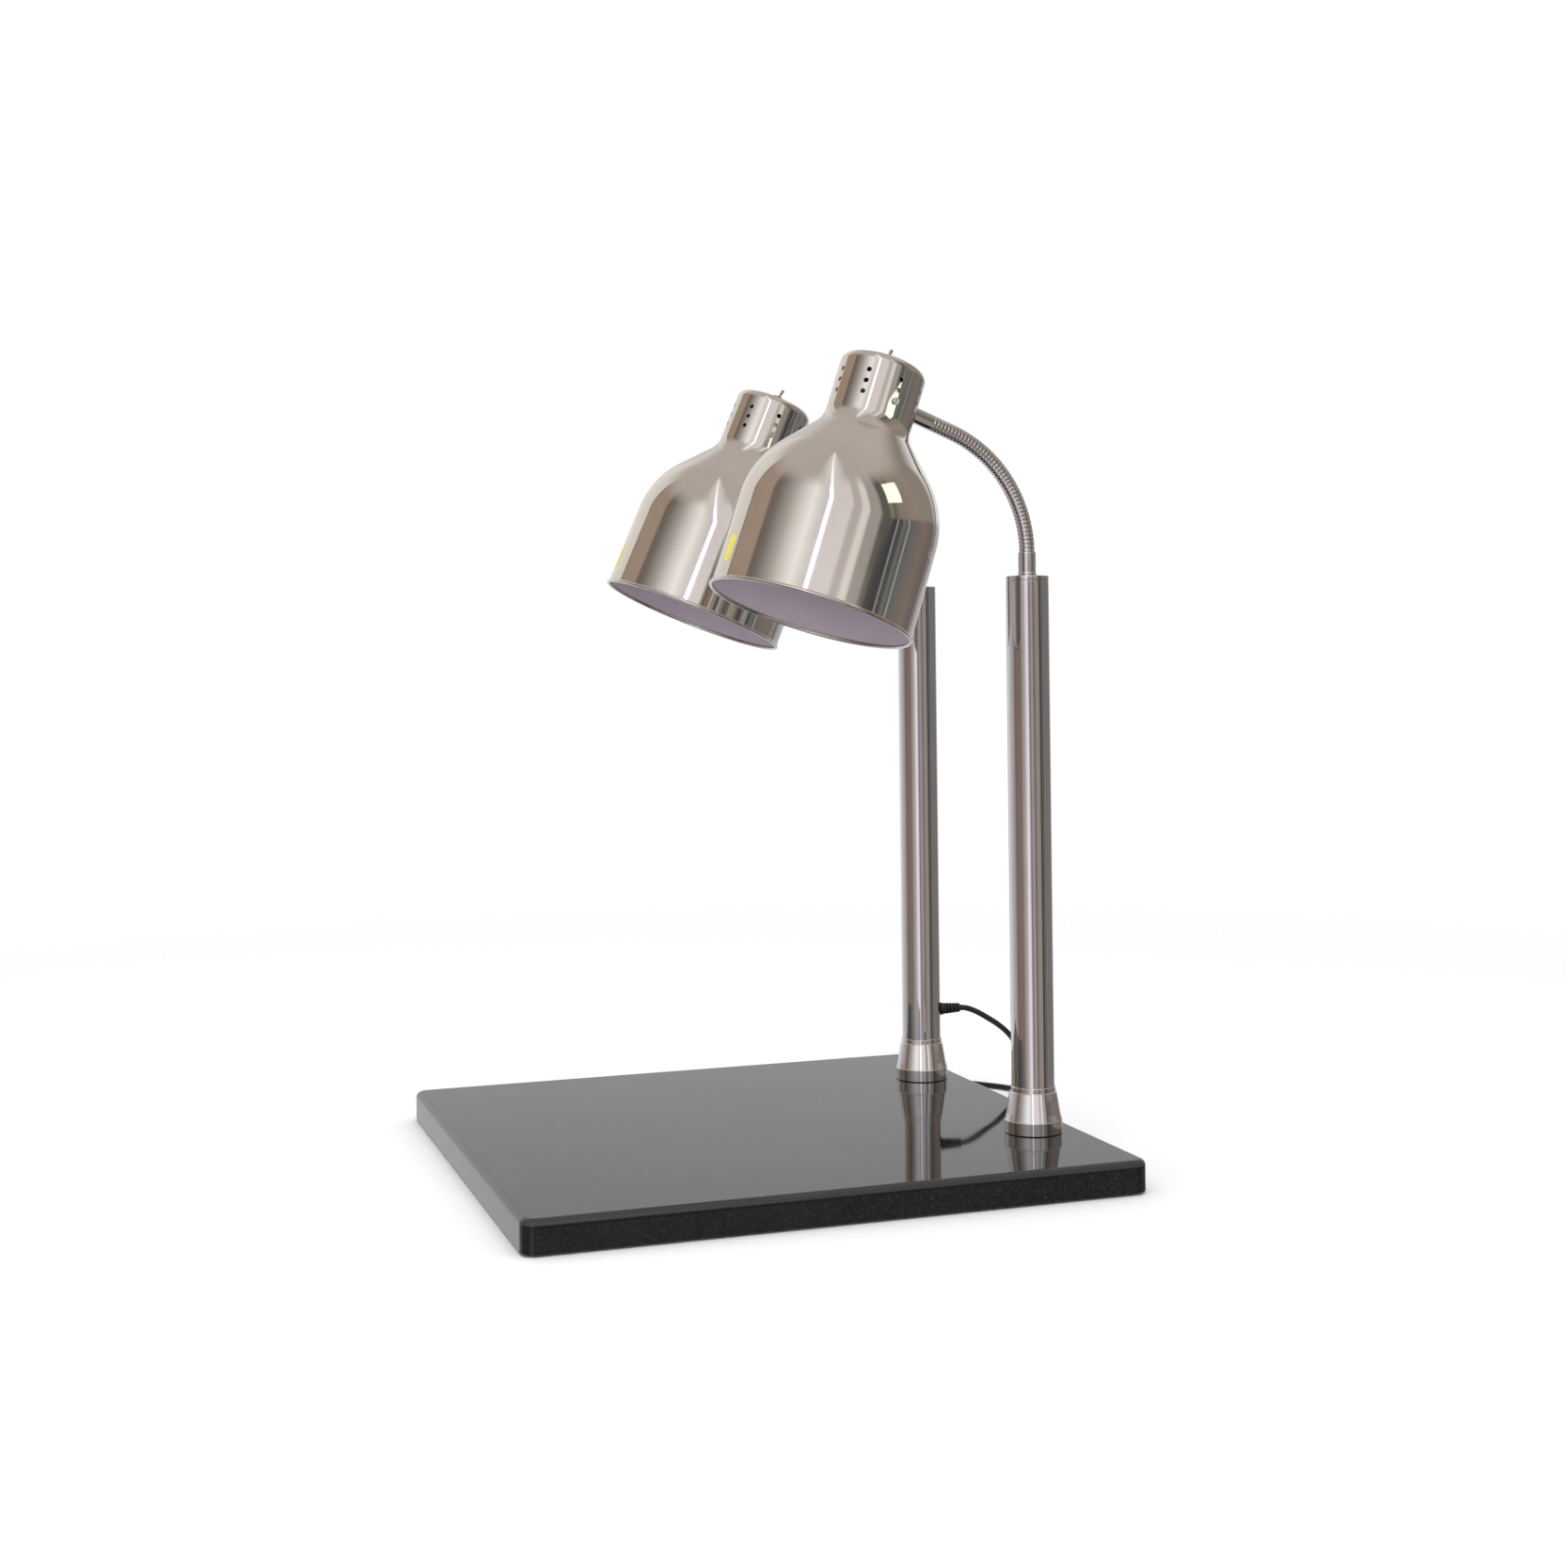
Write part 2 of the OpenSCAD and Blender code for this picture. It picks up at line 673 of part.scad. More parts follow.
module tube(p, r, sides) {
    u = carried(p, 0, side_of(heading(p, 0)));
    last = len(p) - 1;
    points = [for (k = [0:last]) let (v = cross(heading(p, k), u[k])) for (j = [0:sides - 1])
        p[k] + r * (cos(360 * j / sides) * u[k] + sin(360 * j / sides) * v)];
    walls = [for (k = [0:last - 1], j = [0:sides - 1]) let (n = (j + 1) % sides)
        [k * sides + j, k * sides + n, (k + 1) * sides + n, (k + 1) * sides + j]];
    start = [[for (j = [sides - 1:-1:0]) j]];
    end = [[for (j = [0:sides - 1]) last * sides + j]];
    polyhedron(points = points, faces = [for (face = concat(start, walls, end)) reversed(face)]);
}

module mains_cord() {
    color(black) tube(smooth(route, steps_per_span), cord_r, cord_sides);
}

module cord_coil() {
    edge = 1.5;
    color(black) translate(coil_centre) rotate_extrude() polygon([
        [coil_inner_r + edge, 0], [coil_outer_r - edge, 0], [coil_outer_r, edge],
        [coil_outer_r, coil_first_h - edge], [coil_layer_2_r[1], coil_first_h + edge],
        [coil_layer_2_r[1], coil_h - edge], [coil_layer_2_r[1] - edge, coil_h],
        [coil_layer_2_r[0] + edge, coil_h], [coil_layer_2_r[0], coil_h - edge],
        [coil_inner_r, coil_first_h - edge], [coil_inner_r, edge]
    ]);
}

module cord_tail() {
    color(black) tube(smooth(tail_route, steps_per_span), cord_r, cord_sides);
}

// Hook-and-loop tie round the coil's turns, on the side away from the slab
module cord_tie() {
    bow = coil_inner_r - sqrt(coil_inner_r * coil_inner_r - tie_w * tie_w / 4);
    inner = coil_inner_r - bow - tie_clear - tie_t;
    outer = coil_outer_r + tie_clear + tie_t;
    room = coil_h + tie_clear;
    color(black) translate(coil_centre) rotate([0, 0, 180]) translate([inner, -tie_w / 2, 0])
        difference() {
            cube([outer - inner, tie_w, room + tie_t]);
            translate([tie_t, -1, -1]) cube([outer - inner - 2 * tie_t, tie_w + 2, room + 1]);
        }
}

// Plug with a conical nose round its cord and four finger grooves on each side
module plug_body() {
    mid = plug_h / 2;
    corner_r = 4;
    groove = [1.2, 1.6, 10];
    color(black) translate(plug_at) difference() {
        union() {
            translate([0, -plug_nose, mid]) rotate([90, 0, 0]) linear_extrude(plug_l - plug_nose)
                rounded_plan(plug_w, plug_h, corner_r);
            translate([0, -gap, mid]) rotate([90, 0, 0])
                cylinder(r1 = 6, r2 = 9, h = plug_nose - gap + eps);
        }
        for (x = [-1, 1], k = [2:5])
            translate([(x * plug_w - groove[0]) / 2, -plug_nose - k * 4, mid - groove[2] / 2])
                cube(groove);
    }
}

module plug_pins() {
    mid = plug_h / 2;
    blade_up = 2;
    earth_down = 6.5;
    color(brass) translate(plug_at) translate([0, -plug_l - gap, mid]) {
        for (x = [-1, 1])
            translate([(x * blade_gap - blade_t) / 2, -pin_len, blade_up - blade_w / 2])
                cube([blade_t, pin_len, blade_w]);
        translate([0, 0, -earth_down]) rotate([90, 0, 0]) cylinder(r = earth_r, h = pin_len + 3);
    }
}

stone_base();
rubber_feet();
post_bolts();
post_washers();
link_cable();
channel_cover();
post(right);  // right_post
post_foot(right);  // right_post_foot
post_collar(right);  // right_post_collar
post_cap(right);  // right_post_cap
post_wire(right);  // right_post_wire
arm_sleeve(right);  // right_arm_sleeve
arm_link(right, 0);  // right_arm_link_1
arm_link(right, 1);  // right_arm_link_2
arm_link(right, 2);  // right_arm_link_3
arm_link(right, 3);  // right_arm_link_4
arm_tail(right);  // right_arm_tail
arm_nut(right);  // right_arm_nut
shade(right);  // right_shade
lampholder(right);  // right_lampholder
holder_bracket(right);  // right_holder_bracket
bracket_screws(right);  // right_bracket_screws
bulb_glass(right);  // right_bulb_glass
bulb_cap(right);  // right_bulb_cap
switch_body(right);  // right_switch_body
switch_nut(right);  // right_switch_nut
switch_lever(right);  // right_switch_lever
post(left);  // left_post
post_foot(left);  // left_post_foot
post_collar(left);  // left_post_collar
post_cap(left);  // left_post_cap
post_wire(left);  // left_post_wire
arm_sleeve(left);  // left_arm_sleeve
arm_link(left, 0);  // left_arm_link_1
arm_link(left, 1);  // left_arm_link_2
arm_link(left, 2);  // left_arm_link_3
arm_link(left, 3);  // left_arm_link_4
arm_tail(left);  // left_arm_tail
arm_nut(left);  // left_arm_nut
shade(left);  // left_shade
lampholder(left);  // left_lampholder
holder_bracket(left);  // left_holder_bracket
bracket_screws(left);  // left_bracket_screws
bulb_glass(left);  // left_bulb_glass
bulb_cap(left);  // left_bulb_cap
switch_body(left);  // left_switch_body
switch_nut(left);  // left_switch_nut
switch_lever(left);  // left_switch_lever
strain_relief();
mains_cord();
cord_coil();
cord_tail();
cord_tie();
plug_body();
plug_pins();
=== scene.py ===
"""Looks of the twin heat lamp warmer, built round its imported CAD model.

Lengths are in millimetres until make_mesh() and metres() turn them into
Blender's metres. The frame is the CAD model's: +Z up, -Y the carver's side,
+X the right-hand lamp.
"""

import math

import bmesh
import bpy
import numpy as np
from mathutils import Matrix, Vector


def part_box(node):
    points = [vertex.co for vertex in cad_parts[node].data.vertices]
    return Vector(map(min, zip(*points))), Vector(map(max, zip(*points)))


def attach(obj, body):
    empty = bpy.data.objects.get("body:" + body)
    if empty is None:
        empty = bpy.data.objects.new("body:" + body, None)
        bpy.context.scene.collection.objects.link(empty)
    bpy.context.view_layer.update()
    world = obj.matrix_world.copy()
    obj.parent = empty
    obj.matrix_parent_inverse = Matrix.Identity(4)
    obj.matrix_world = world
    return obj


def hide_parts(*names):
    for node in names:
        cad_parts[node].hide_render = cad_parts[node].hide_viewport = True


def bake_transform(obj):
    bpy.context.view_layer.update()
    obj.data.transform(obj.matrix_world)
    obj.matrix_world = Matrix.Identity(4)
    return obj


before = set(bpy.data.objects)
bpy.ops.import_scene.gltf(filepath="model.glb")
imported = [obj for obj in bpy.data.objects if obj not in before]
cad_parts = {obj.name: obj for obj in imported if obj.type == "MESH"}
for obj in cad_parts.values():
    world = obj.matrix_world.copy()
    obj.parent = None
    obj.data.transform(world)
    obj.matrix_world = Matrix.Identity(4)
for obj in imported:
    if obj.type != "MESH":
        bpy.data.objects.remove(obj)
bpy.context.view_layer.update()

MM = 0.001
RIGHT, LEFT = 1, -1
SIDE_NAME = {RIGHT: "right", LEFT: "left"}

# Driving dimensions, as the CAD model has them
BASE_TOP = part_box("stone_base")[1].z / MM
POST_X, POST_Y = 148, 250
POST_TOP = 590
POST_R, POST_WALL, CAP_H = 21.5, 1.5, 4.6
CAP_LOW = POST_TOP - CAP_H - 14  # underside of the cap's plug, inside the tube
COLLAR_R, BAND_H, CONE_H, LIP_H = 29, 13.5, 27.5, 5.5
ARM_R, LINK, SLEEVE_R, SLEEVE_H, TAIL = 7.8, 39, 8.8, 24, 92
TURN = {RIGHT: 9.5, LEFT: -3}
BENDS = {RIGHT: (19.5, 18.5, 17, 15.5), LEFT: (22.5, 18.5, 15, 11.5)}
SHADE_H, MOUTH_R, BODY_R = 255.5, 99, 98
SHOULDER_S, SHOULDER_R, SLOPE = 90, 91, math.radians(41.3)
NECK_R, BLEND_R, TOP_EDGE_R = 42.4, 26, 8.5
SHEET, BEAD_R, ENTRY_S = 1, 1.7, 222
VENT_R, VENT_S, VENT_PITCH = 2.5, 212.4, 11.1
BULB_R, BULB_RECESS, BULB_H = 62.5, 38, 153
BUSHING_R, BUSHING_H = 5.6, 7.5
LEVER_R, LEVER_H, LEVER_TILT = 1.4, 17.5, 11
CORD_R, EXIT_H = 3.2, 77
GAP = 0.05  # left between pieces that stand on each other, so that they don't touch


# ---------- places ----------


def moved(x, y, z):
    return Matrix.Translation((x, y, z))


def turned_by(degrees, axis):
    return Matrix.Rotation(math.radians(degrees), 4, axis)


def post_place(side):
    return moved(side * POST_X, POST_Y, 0)


def link_place(side, count):
    """The arm's frame after its first count links, with +Z along the arm."""
    place = post_place(side) @ turned_by(TURN[side], "Z") @ moved(0, 0, POST_TOP + SLEEVE_H)
    for bend in BENDS[side][:count]:
        radius = LINK / math.radians(bend)
        place = place @ moved(0, -radius, 0) @ turned_by(bend, "X") @ moved(0, radius, 0)
    return place


def lamp_place(side):
    """The lamp's frame: origin in the rim's middle, +Z up its axis, +Y to the arm."""
    return link_place(side, 4) @ moved(0, 0, TAIL) @ turned_by(-90, "X") @ moved(0, 0, -ENTRY_S)


def metres(place):
    made = place.copy()
    made.translation = place.translation * MM
    return made


def new_object(name, data):
    made = bpy.data.objects.new(name, data)
    bpy.context.scene.collection.objects.link(made)
    return made


# ---------- camera ----------


def add_camera():
    """A camera at the level of the shades' rims, to the right of the carver."""
    focal, shift_right, shift_down = 2254.1, 26.06, -146.39
    frame_px, sensor = 1667, 36
    data = bpy.data.cameras.new("camera")
    data.sensor_width = sensor
    data.lens = focal * sensor / frame_px
    data.shift_x = -shift_right / frame_px
    data.shift_y = shift_down / frame_px
    camera = new_object("camera", data)
    right = Vector((0.32801599, 0.94461042, -0.01080128))
    up = Vector((0.01089597, 0.00765000, 0.99991137))
    back = Vector((0.94460933, -0.32810461, -0.00778312))
    turn = Matrix((right, up, back)).transposed().to_4x4()
    camera.matrix_world = Matrix.Translation((2.08956, -0.65792, 0.50518)) @ turn
    bpy.context.scene.camera = camera


# ---------- meshes ----------


def make_mesh(name, points, faces, place=Matrix.Identity(4), sharp=35):
    """A smooth mesh object from points in millimetres, with creases over sharp degrees."""
    mesh = bpy.data.meshes.new(name)
    mesh.from_pydata([Vector(p) * MM for p in points], [], faces)
    made = new_object(name, mesh)
    made.matrix_world = metres(place)
    work = bmesh.new()
    work.from_mesh(mesh)
    bmesh.ops.recalc_face_normals(work, faces=work.faces)
    work.to_mesh(mesh)
    work.free()
    mesh.polygons.foreach_set("use_smooth", [True] * len(mesh.polygons))
    mesh.set_sharp_from_angle(angle=math.radians(sharp))
    return made


def arc(centre_r, centre_z, radius, start, end, steps):
    """Points on an arc, its angles in degrees from the +R direction."""
    angles = [math.radians(start + (end - start) * k / steps) for k in range(steps + 1)]
    return [(centre_r + radius * math.cos(a), centre_z + radius * math.sin(a)) for a in angles]


def eased(outline, radius, closed=False, steps=3):
    """The outline with each corner rounded off by up to radius. A point is held on each
    side of a corner, so that the long faces shade as flat as they are."""
    made = []
    last = len(outline) - 1
    for k, corner in enumerate(outline):
        if not closed and k in (0, last):
            made.append(corner)
            continue
        here = Vector(corner)
        before = Vector(outline[k - 1]) - here
        after = Vector(outline[(k + 1) % len(outline)]) - here
        reach = min(radius, before.length * 0.45, after.length * 0.45)
        start = here + before.normalized() * reach
        end = here + after.normalized() * reach
        held = [here + way.normalized() * min(reach * 1.6, way.length * 0.48) for way in (before, after)]
        made.append(tuple(held[0]))
        for j in range(steps + 1):
            t = j / steps
            made.append(tuple(start * (1 - t) ** 2 + here * 2 * t * (1 - t) + end * t ** 2))
        made.append(tuple(held[1]))
    return made


def lathe(outline, segments, closed):
    """Points and faces of an outline of (radius, height) turned about +Z."""
    points, rings = [], []
    for radius, height in outline:
        if radius < 1e-6:
            rings.append([len(points)] * segments)
            points.append((0, 0, height))
            continue
        rings.append(list(range(len(points), len(points) + segments)))
        for k in range(segments):
            a = 2 * math.pi * k / segments
            points.append((radius * math.cos(a), radius * math.sin(a), height))
    faces = []
    pairs = list(zip(rings, rings[1:])) + ([(rings[-1], rings[0])] if closed else [])
    for low, high in pairs:
        for k in range(segments):
            n = (k + 1) % segments
            corners = [low[k], low[n], high[n], high[k]]
            face = [v for i, v in enumerate(corners) if v not in corners[:i]]
            if len(face) > 2:
                faces.append(face)
    return points, faces


def turned(name, outline, place, closed=False, segments=128, sharp=35):
    """A turned piece. An open outline starts and ends on the axis."""
    points, faces = lathe(outline, segments, closed)
    return make_mesh(name, points, faces, place, sharp)


def swept(name, centres, section, sharp):
    """A closed tube. Ring k is section(k), a list of (across, up) offsets from centres[k].
    Across is carried along the centres, so that the tube never twists."""
    centres = [Vector(c) for c in centres]
    last = len(centres) - 1
    points, rings = [], []
    across = None
    for k, centre in enumerate(centres):
        along = (centres[min(k + 1, last)] - centres[max(k - 1, 0)]).normalized()
        if across is None:
            hint = Vector((1, 0, 0)) if abs(along.x) < 0.9 else Vector((0, 1, 0))
            across = hint.cross(along).normalized()
        across = (across - along * across.dot(along)).normalized()
        up = along.cross(across)
        ring = section(k)
        rings.append(range(len(points), len(points) + len(ring)))
        points += [centre + across * a + up * b for a, b in ring]
    faces = []
    for low, high in zip(rings, rings[1:]):
        count = len(low)
        faces += [(low[j], low[(j + 1) % count], high[(j + 1) % count], high[j]) for j in range(count)]
    faces += [tuple(rings[0]), tuple(rings[-1])]
    return make_mesh(name, points, faces, sharp=sharp)


def catmull(points, steps):
    """A smooth curve through the points, with steps parts between two of them."""
    points = [Vector(p) for p in points]
    made = []
    for k in range(len(points) - 1):
        a, b = points[max(k - 1, 0)], points[k]
        c, d = points[k + 1], points[min(k + 2, len(points) - 1)]
        for j in range(steps):
            t = j / steps
            made.append(0.5 * (2 * b + (c - a) * t + (2 * a - 5 * b + 4 * c - d) * t ** 2
                               + (3 * b - a - 3 * c + d) * t ** 3))
    return made + [points[-1]]


def finish_piece(piece, body, slot, material, *nodes):
    """Gives a piece its material and its body, and hides the CAD nodes it stands for. The slot argument is
    not used.
    """
    piece.data.materials.append(material)
    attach(piece, body)
    if nodes:
        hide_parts(*nodes)
    return piece


def paint_nodes(names, material):
    """Gives CAD nodes that stay as they are their material."""
    for name in names:
        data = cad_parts[name].data
        data.materials.clear()
        data.materials.append(material)


def round_cutter(place, radius, depth, segments):
    """A short rod along place's +Z, for cutting a round hole."""
    points, faces = lathe([(0, 0), (radius, 0), (radius, depth), (0, depth)], segments, False)
    return make_mesh("cutter", points, faces, place)


def cut_away(piece, cutter):
    """Cuts one mesh out of another, applies the cut and removes the cutter."""
    cut = piece.modifiers.new("holes", "BOOLEAN")
    cut.object, cut.operation, cut.solver = cutter, "DIFFERENCE", "EXACT"
    graph = bpy.context.evaluated_depsgraph_get()
    baked = bpy.data.meshes.new_from_object(piece.evaluated_get(graph), depsgraph=graph)
    piece.modifiers.clear()
    piece.data = baked
    bpy.data.objects.remove(cutter)


# ---------- materials ----------


def feed(tree, node, inputs):
    """Sets a node's inputs, given by name or number, to values or other nodes' outputs."""
    for key, value in inputs.items():
        if isinstance(value, bpy.types.NodeSocket):
            tree.links.new(value, node.inputs[key])
        else:
            node.inputs[key].default_value = value


def add(tree, kind, inputs=None, **settings):
    made = tree.nodes.new("ShaderNode" + kind)
    for name, value in settings.items():
        setattr(made, name, value)
    feed(tree, made, inputs or {})
    return made


def ramp(tree, factor, stops):
    """A colour ramp from (position, colour) stops."""
    made = add(tree, "ValToRGB", {"Fac": factor})
    elements = made.color_ramp.elements
    while len(elements) < len(stops):
        elements.new(0.5)
    for element, (position, colour) in zip(elements, stops):
        element.position = position
        element.color = (*colour, 1)
    return made.outputs["Color"]


def grey(value):
    return (value, value, value)


def grey_ramp(tree, factor, *stops):
    """A ramp from (position, value) stops, for a share or a roughness."""
    return ramp(tree, factor, [(position, grey(value)) for position, value in stops])


def maths(tree, operation, a, b=0.0):
    return add(tree, "Math", {0: a, 1: b}, operation=operation).outputs[0]


def squared(tree, value):
    return maths(tree, "MULTIPLY", value, value)


def noise(tree, vector, scale, detail=3.0, roughness=0.5):
    made = add(tree, "TexNoise", {"Vector": vector, "Scale": scale, "Detail": detail,
                                  "Roughness": roughness})
    return made.outputs["Fac"]


def stretched(tree, vector, along, across):
    return add(tree, "Mapping", {"Vector": vector, "Scale": (along, across, across)}).outputs["Vector"]


def mixed(tree, factor, a, b):
    return add(tree, "Mix", {0: factor, 6: a, 7: b}, data_type="RGBA").outputs[2]


def bump(tree, height, strength, distance, normal=None):
    inputs = {"Height": height, "Strength": strength, "Distance": distance}
    if normal is not None:
        inputs["Normal"] = normal
    return add(tree, "Bump", inputs).outputs["Normal"]


def mottle(tree, place, scale, low, high, start=0.3):
    """Two close colours in soft clouds."""
    return ramp(tree, noise(tree, place, scale), [(start, low), (0.7, high)])


def height_of(tree, place):
    return add(tree, "SeparateXYZ", {0: place}).outputs[2]


def new_material(name):
    """A material with one Principled shader, and the object's own coordinates."""
    made = bpy.data.materials.new(name)
    made.use_nodes = True
    tree = made.node_tree
    tree.nodes.clear()
    shader = tree.nodes.new("ShaderNodeBsdfPrincipled")
    output = tree.nodes.new("ShaderNodeOutputMaterial")
    tree.links.new(shader.outputs[0], output.inputs["Surface"])
    place = add(tree, "TexCoord").outputs["Object"]
    return made, tree, shader, place


def round_axis(tree, place):
    """The place as (angle about +Z in turns, distance from it, height), for turned pieces."""
    parts = add(tree, "SeparateXYZ", {0: place})
    angle = maths(tree, "ARCTAN2", parts.outputs[1], parts.outputs[0])
    turns = maths(tree, "DIVIDE", angle, 2 * math.pi)
    square = maths(tree, "ADD", squared(tree, parts.outputs[0]), squared(tree, parts.outputs[1]))
    radius = maths(tree, "SQRT", square)
    return add(tree, "CombineXYZ", {0: turns, 1: radius, 2: parts.outputs[2]}).outputs[0]


def metal(name, colour, tint, rough, smear, lines, wave, spun):
    """Polished metal: base colour and its darker tint, roughness and how much it smears,
    the depth of its fine polishing lines and of its slow waves, in metres. Spun metal
    has its lines round the object's own +Z."""
    made, tree, shader, place = new_material(name)
    around = round_axis(tree, place) if spun else place
    cloud = noise(tree, place, 14.0, 4.0, 0.6)
    fine = noise(tree, stretched(tree, around, 2.0, 900.0), 1.0, 4.0, 0.7)
    slow = noise(tree, stretched(tree, around, 3.0, 22.0), 1.0, 1.0)
    smudge = grey_ramp(tree, cloud, (0.35, rough), (0.75, rough + smear))
    feed(tree, shader, {
        "Metallic": 1.0,
        "Base Color": ramp(tree, cloud, [(0.3, tint), (0.7, colour)]),
        "Roughness": maths(tree, "ADD", smudge, maths(tree, "MULTIPLY", fine, smear)),
        "Normal": bump(tree, fine, 1.0, lines, bump(tree, slow, 1.0, wave)),
    })
    return made


def painted_edge_reflection(tree, place, stone):
    """The slab's rounded top edge: a paler band of painted highlight over a dark line of painted reflection,
    on the bare stone.
    """
    reach = 0.010  # how far below the top the band's and the line's positions start
    # Colours of the painted highlight and of the painted dark reflection on the rounded edge
    highlight_colour, reflected_dark_colour = (0.045, 0.043, 0.044, 1), (0.004, 0.004, 0.004, 1)
    top = BASE_TOP * MM
    share = add(tree, "MapRange", {0: height_of(tree, place), 1: top - reach, 2: top}).outputs[0]
    # Painted highlight: the paler band over the rounding. Painted reflection: the dark line just under it.
    painted_highlight = grey_ramp(tree, share, (0.0, 0.0), (0.36, 0.0), (0.5, 0.85), (0.93, 0.85), (0.98, 0.0))
    edge_line = grey_ramp(tree, share, (0.16, 0.0), (0.26, 0.8), (0.34, 0.8), (0.42, 0.0))
    return mixed(tree, edge_line, mixed(tree, painted_highlight, stone, highlight_colour), reflected_dark_colour)


def granite():
    """Polished black granite: fine dark crystals with a few pale specks under the gloss."""
    crystal_scale, fleck_scale, fleck_size, fleck_rarity = 520.0, 190.0, 0.13, 0.965
    dusk_colour, fleck_colour = (0.018, 0.018, 0.019, 1), (0.30, 0.29, 0.27, 1)
    made, tree, shader, place = new_material("polished_granite")
    crystals = add(tree, "TexVoronoi", {"Vector": place, "Scale": crystal_scale}).outputs["Color"]
    grain = add(tree, "SeparateColor", {0: crystals}).outputs[0]
    ground = ramp(tree, grain, [(0.0, grey(0.004)), (0.6, grey(0.009)), (0.92, (0.014, 0.015, 0.015)),
                                (1.0, (0.026, 0.026, 0.025))])
    flecks = add(tree, "TexVoronoi", {"Vector": place, "Scale": fleck_scale})
    pick = add(tree, "SeparateColor", {0: flecks.outputs["Color"]}).outputs[1]
    near = maths(tree, "LESS_THAN", flecks.outputs["Distance"], fleck_size)
    fleck = maths(tree, "MULTIPLY", near, maths(tree, "GREATER_THAN", pick, fleck_rarity))
    cloud = noise(tree, place, 9.0, 4.0, 0.6)
    dusk = mixed(tree, grey_ramp(tree, cloud, (0.35, 0.0), (0.7, 0.55)), ground, dusk_colour)
    stone = mixed(tree, fleck, dusk, fleck_colour)
    feed(tree, shader, {
        "Base Color": painted_edge_reflection(tree, place, stone),
        "Roughness": grey_ramp(tree, cloud, (0.3, 0.035), (0.8, 0.075)),
        "IOR": 1.42,
        "Specular Tint": (0.80, 0.90, 1.0, 1),
        "Normal": bump(tree, noise(tree, place, 6.0, 2.0), 1.0, 0.00025),
    })
    return made


def matt(name, low, high, rough, scale, depth, sheen=0.0):
    """A dull moulded surface: two close colours and a fine pebbled grain."""
    made, tree, shader, place = new_material(name)
    grain = noise(tree, place, scale, 2.0)
    feed(tree, shader, {
        "Base Color": mottle(tree, place, scale * 0.05, low, high),
        "Roughness": grey_ramp(tree, grain, (0.3, rough - 0.07), (0.7, rough + 0.07)),
        "Sheen Weight": sheen,
        "Normal": bump(tree, grain, 0.5, depth),
    })
    return made


def enamel():
    """White enamel, faintly lavender in the shade, with a soft orange-peel skin."""
    made, tree, shader, place = new_material("white_enamel")
    peel = noise(tree, place, 420.0, 2.0)
    feed(tree, shader, {
        "Base Color": mottle(tree, place, 22.0, (0.49, 0.41, 0.47), (0.53, 0.45, 0.51)),
        "Roughness": grey_ramp(tree, peel, (0.3, 0.42), (0.7, 0.52)),
        "Normal": bump(tree, peel, 0.4, 0.00006),
    })
    return made


def bulb_finish():
    """Reflector glass: frosted on its face and silvered behind, in the lamp's own frame."""
    made, tree, shader, place = new_material("reflector_glass")
    edge, half_blend = (BULB_RECESS + 26) * MM, 0.001
    silvered = add(tree, "MapRange", {0: height_of(tree, place), 1: edge - half_blend,
                                      2: edge + half_blend}).outputs[0]
    feed(tree, shader, {
        "Base Color": mixed(tree, silvered, (0.86, 0.84, 0.80, 1), (0.74, 0.75, 0.77, 1)),
        "Metallic": silvered,
        "Roughness": add(tree, "MapRange", {0: silvered, 3: 0.5, 4: 0.16}).outputs[0],
        "Coat Weight": 0.4,
        "Coat Roughness": 0.12,
        "Normal": bump(tree, noise(tree, place, 900.0, 2.0), 0.35, 0.00004),
    })
    return made


def glazed():
    """Glazed white ceramic with a few faint pores."""
    made, tree, shader, place = new_material("glazed_ceramic")
    feed(tree, shader, {
        "Base Color": mottle(tree, place, 60.0, (0.80, 0.78, 0.72), (0.87, 0.86, 0.81)),
        "Roughness": 0.22,
        "Normal": bump(tree, noise(tree, place, 700.0, 1.0), 0.3, 0.00004),
    })
    return made


def label_finish():
    """A plain yellow film label with a faint mottle."""
    made, tree, shader, place = new_material("yellow_label")
    feed(tree, shader, {
        "Base Color": mottle(tree, place, 120.0, (0.66, 0.59, 0.08), (0.74, 0.68, 0.12), 0.35),
        "Roughness": 0.34,
        "Normal": bump(tree, noise(tree, place, 260.0), 0.3, 0.00003),
    })
    return made


def make_materials():
    steel_tint, steel = (0.60, 0.585, 0.56), (0.66, 0.645, 0.62)
    return {
        "steel": metal("spun_steel", steel, steel_tint, 0.04, 0.04, 1.2e-6, 1.2e-4, True),
        "chrome": metal("chrome", (0.70, 0.70, 0.71), (0.64, 0.64, 0.65), 0.02, 0.02, 4e-7, 4e-5, True),
        "arm": metal("chromed_wire", (0.66, 0.66, 0.67), (0.55, 0.55, 0.56), 0.09, 0.06, 1e-6, 2e-5, False),
        "lever": metal("lever_nickel", (0.42, 0.42, 0.43), (0.34, 0.34, 0.35), 0.12, 0.06, 1e-6, 2e-5, True),
        "zinc": metal("zinc_plate", (0.60, 0.60, 0.57), (0.48, 0.48, 0.45), 0.28, 0.12, 2e-6, 3e-5, False),
        "brass": metal("brass", (0.80, 0.62, 0.28), (0.66, 0.48, 0.20), 0.16, 0.10, 1e-6, 2e-5, False),
        "cap": metal("cap_aluminium", (0.76, 0.76, 0.75), (0.66, 0.66, 0.65), 0.22, 0.10, 1e-6, 2e-5, True),
        "granite": granite(),
        "enamel": enamel(),
        "bulb": bulb_finish(),
        "ceramic": glazed(),
        "label": label_finish(),
        "rubber": matt("black_rubber", grey(0.010), grey(0.018), 0.62, 1500.0, 0.00005),
        "cable": matt("cable_sheath", grey(0.011), grey(0.017), 0.42, 1100.0, 0.00003),
        "plastic": matt("black_plastic", grey(0.014), grey(0.022), 0.48, 900.0, 0.00004),
        "tie": matt("hook_and_loop", grey(0.012), grey(0.030), 0.85, 2200.0, 0.0003, 0.4),
    }


# ---------- cord ----------

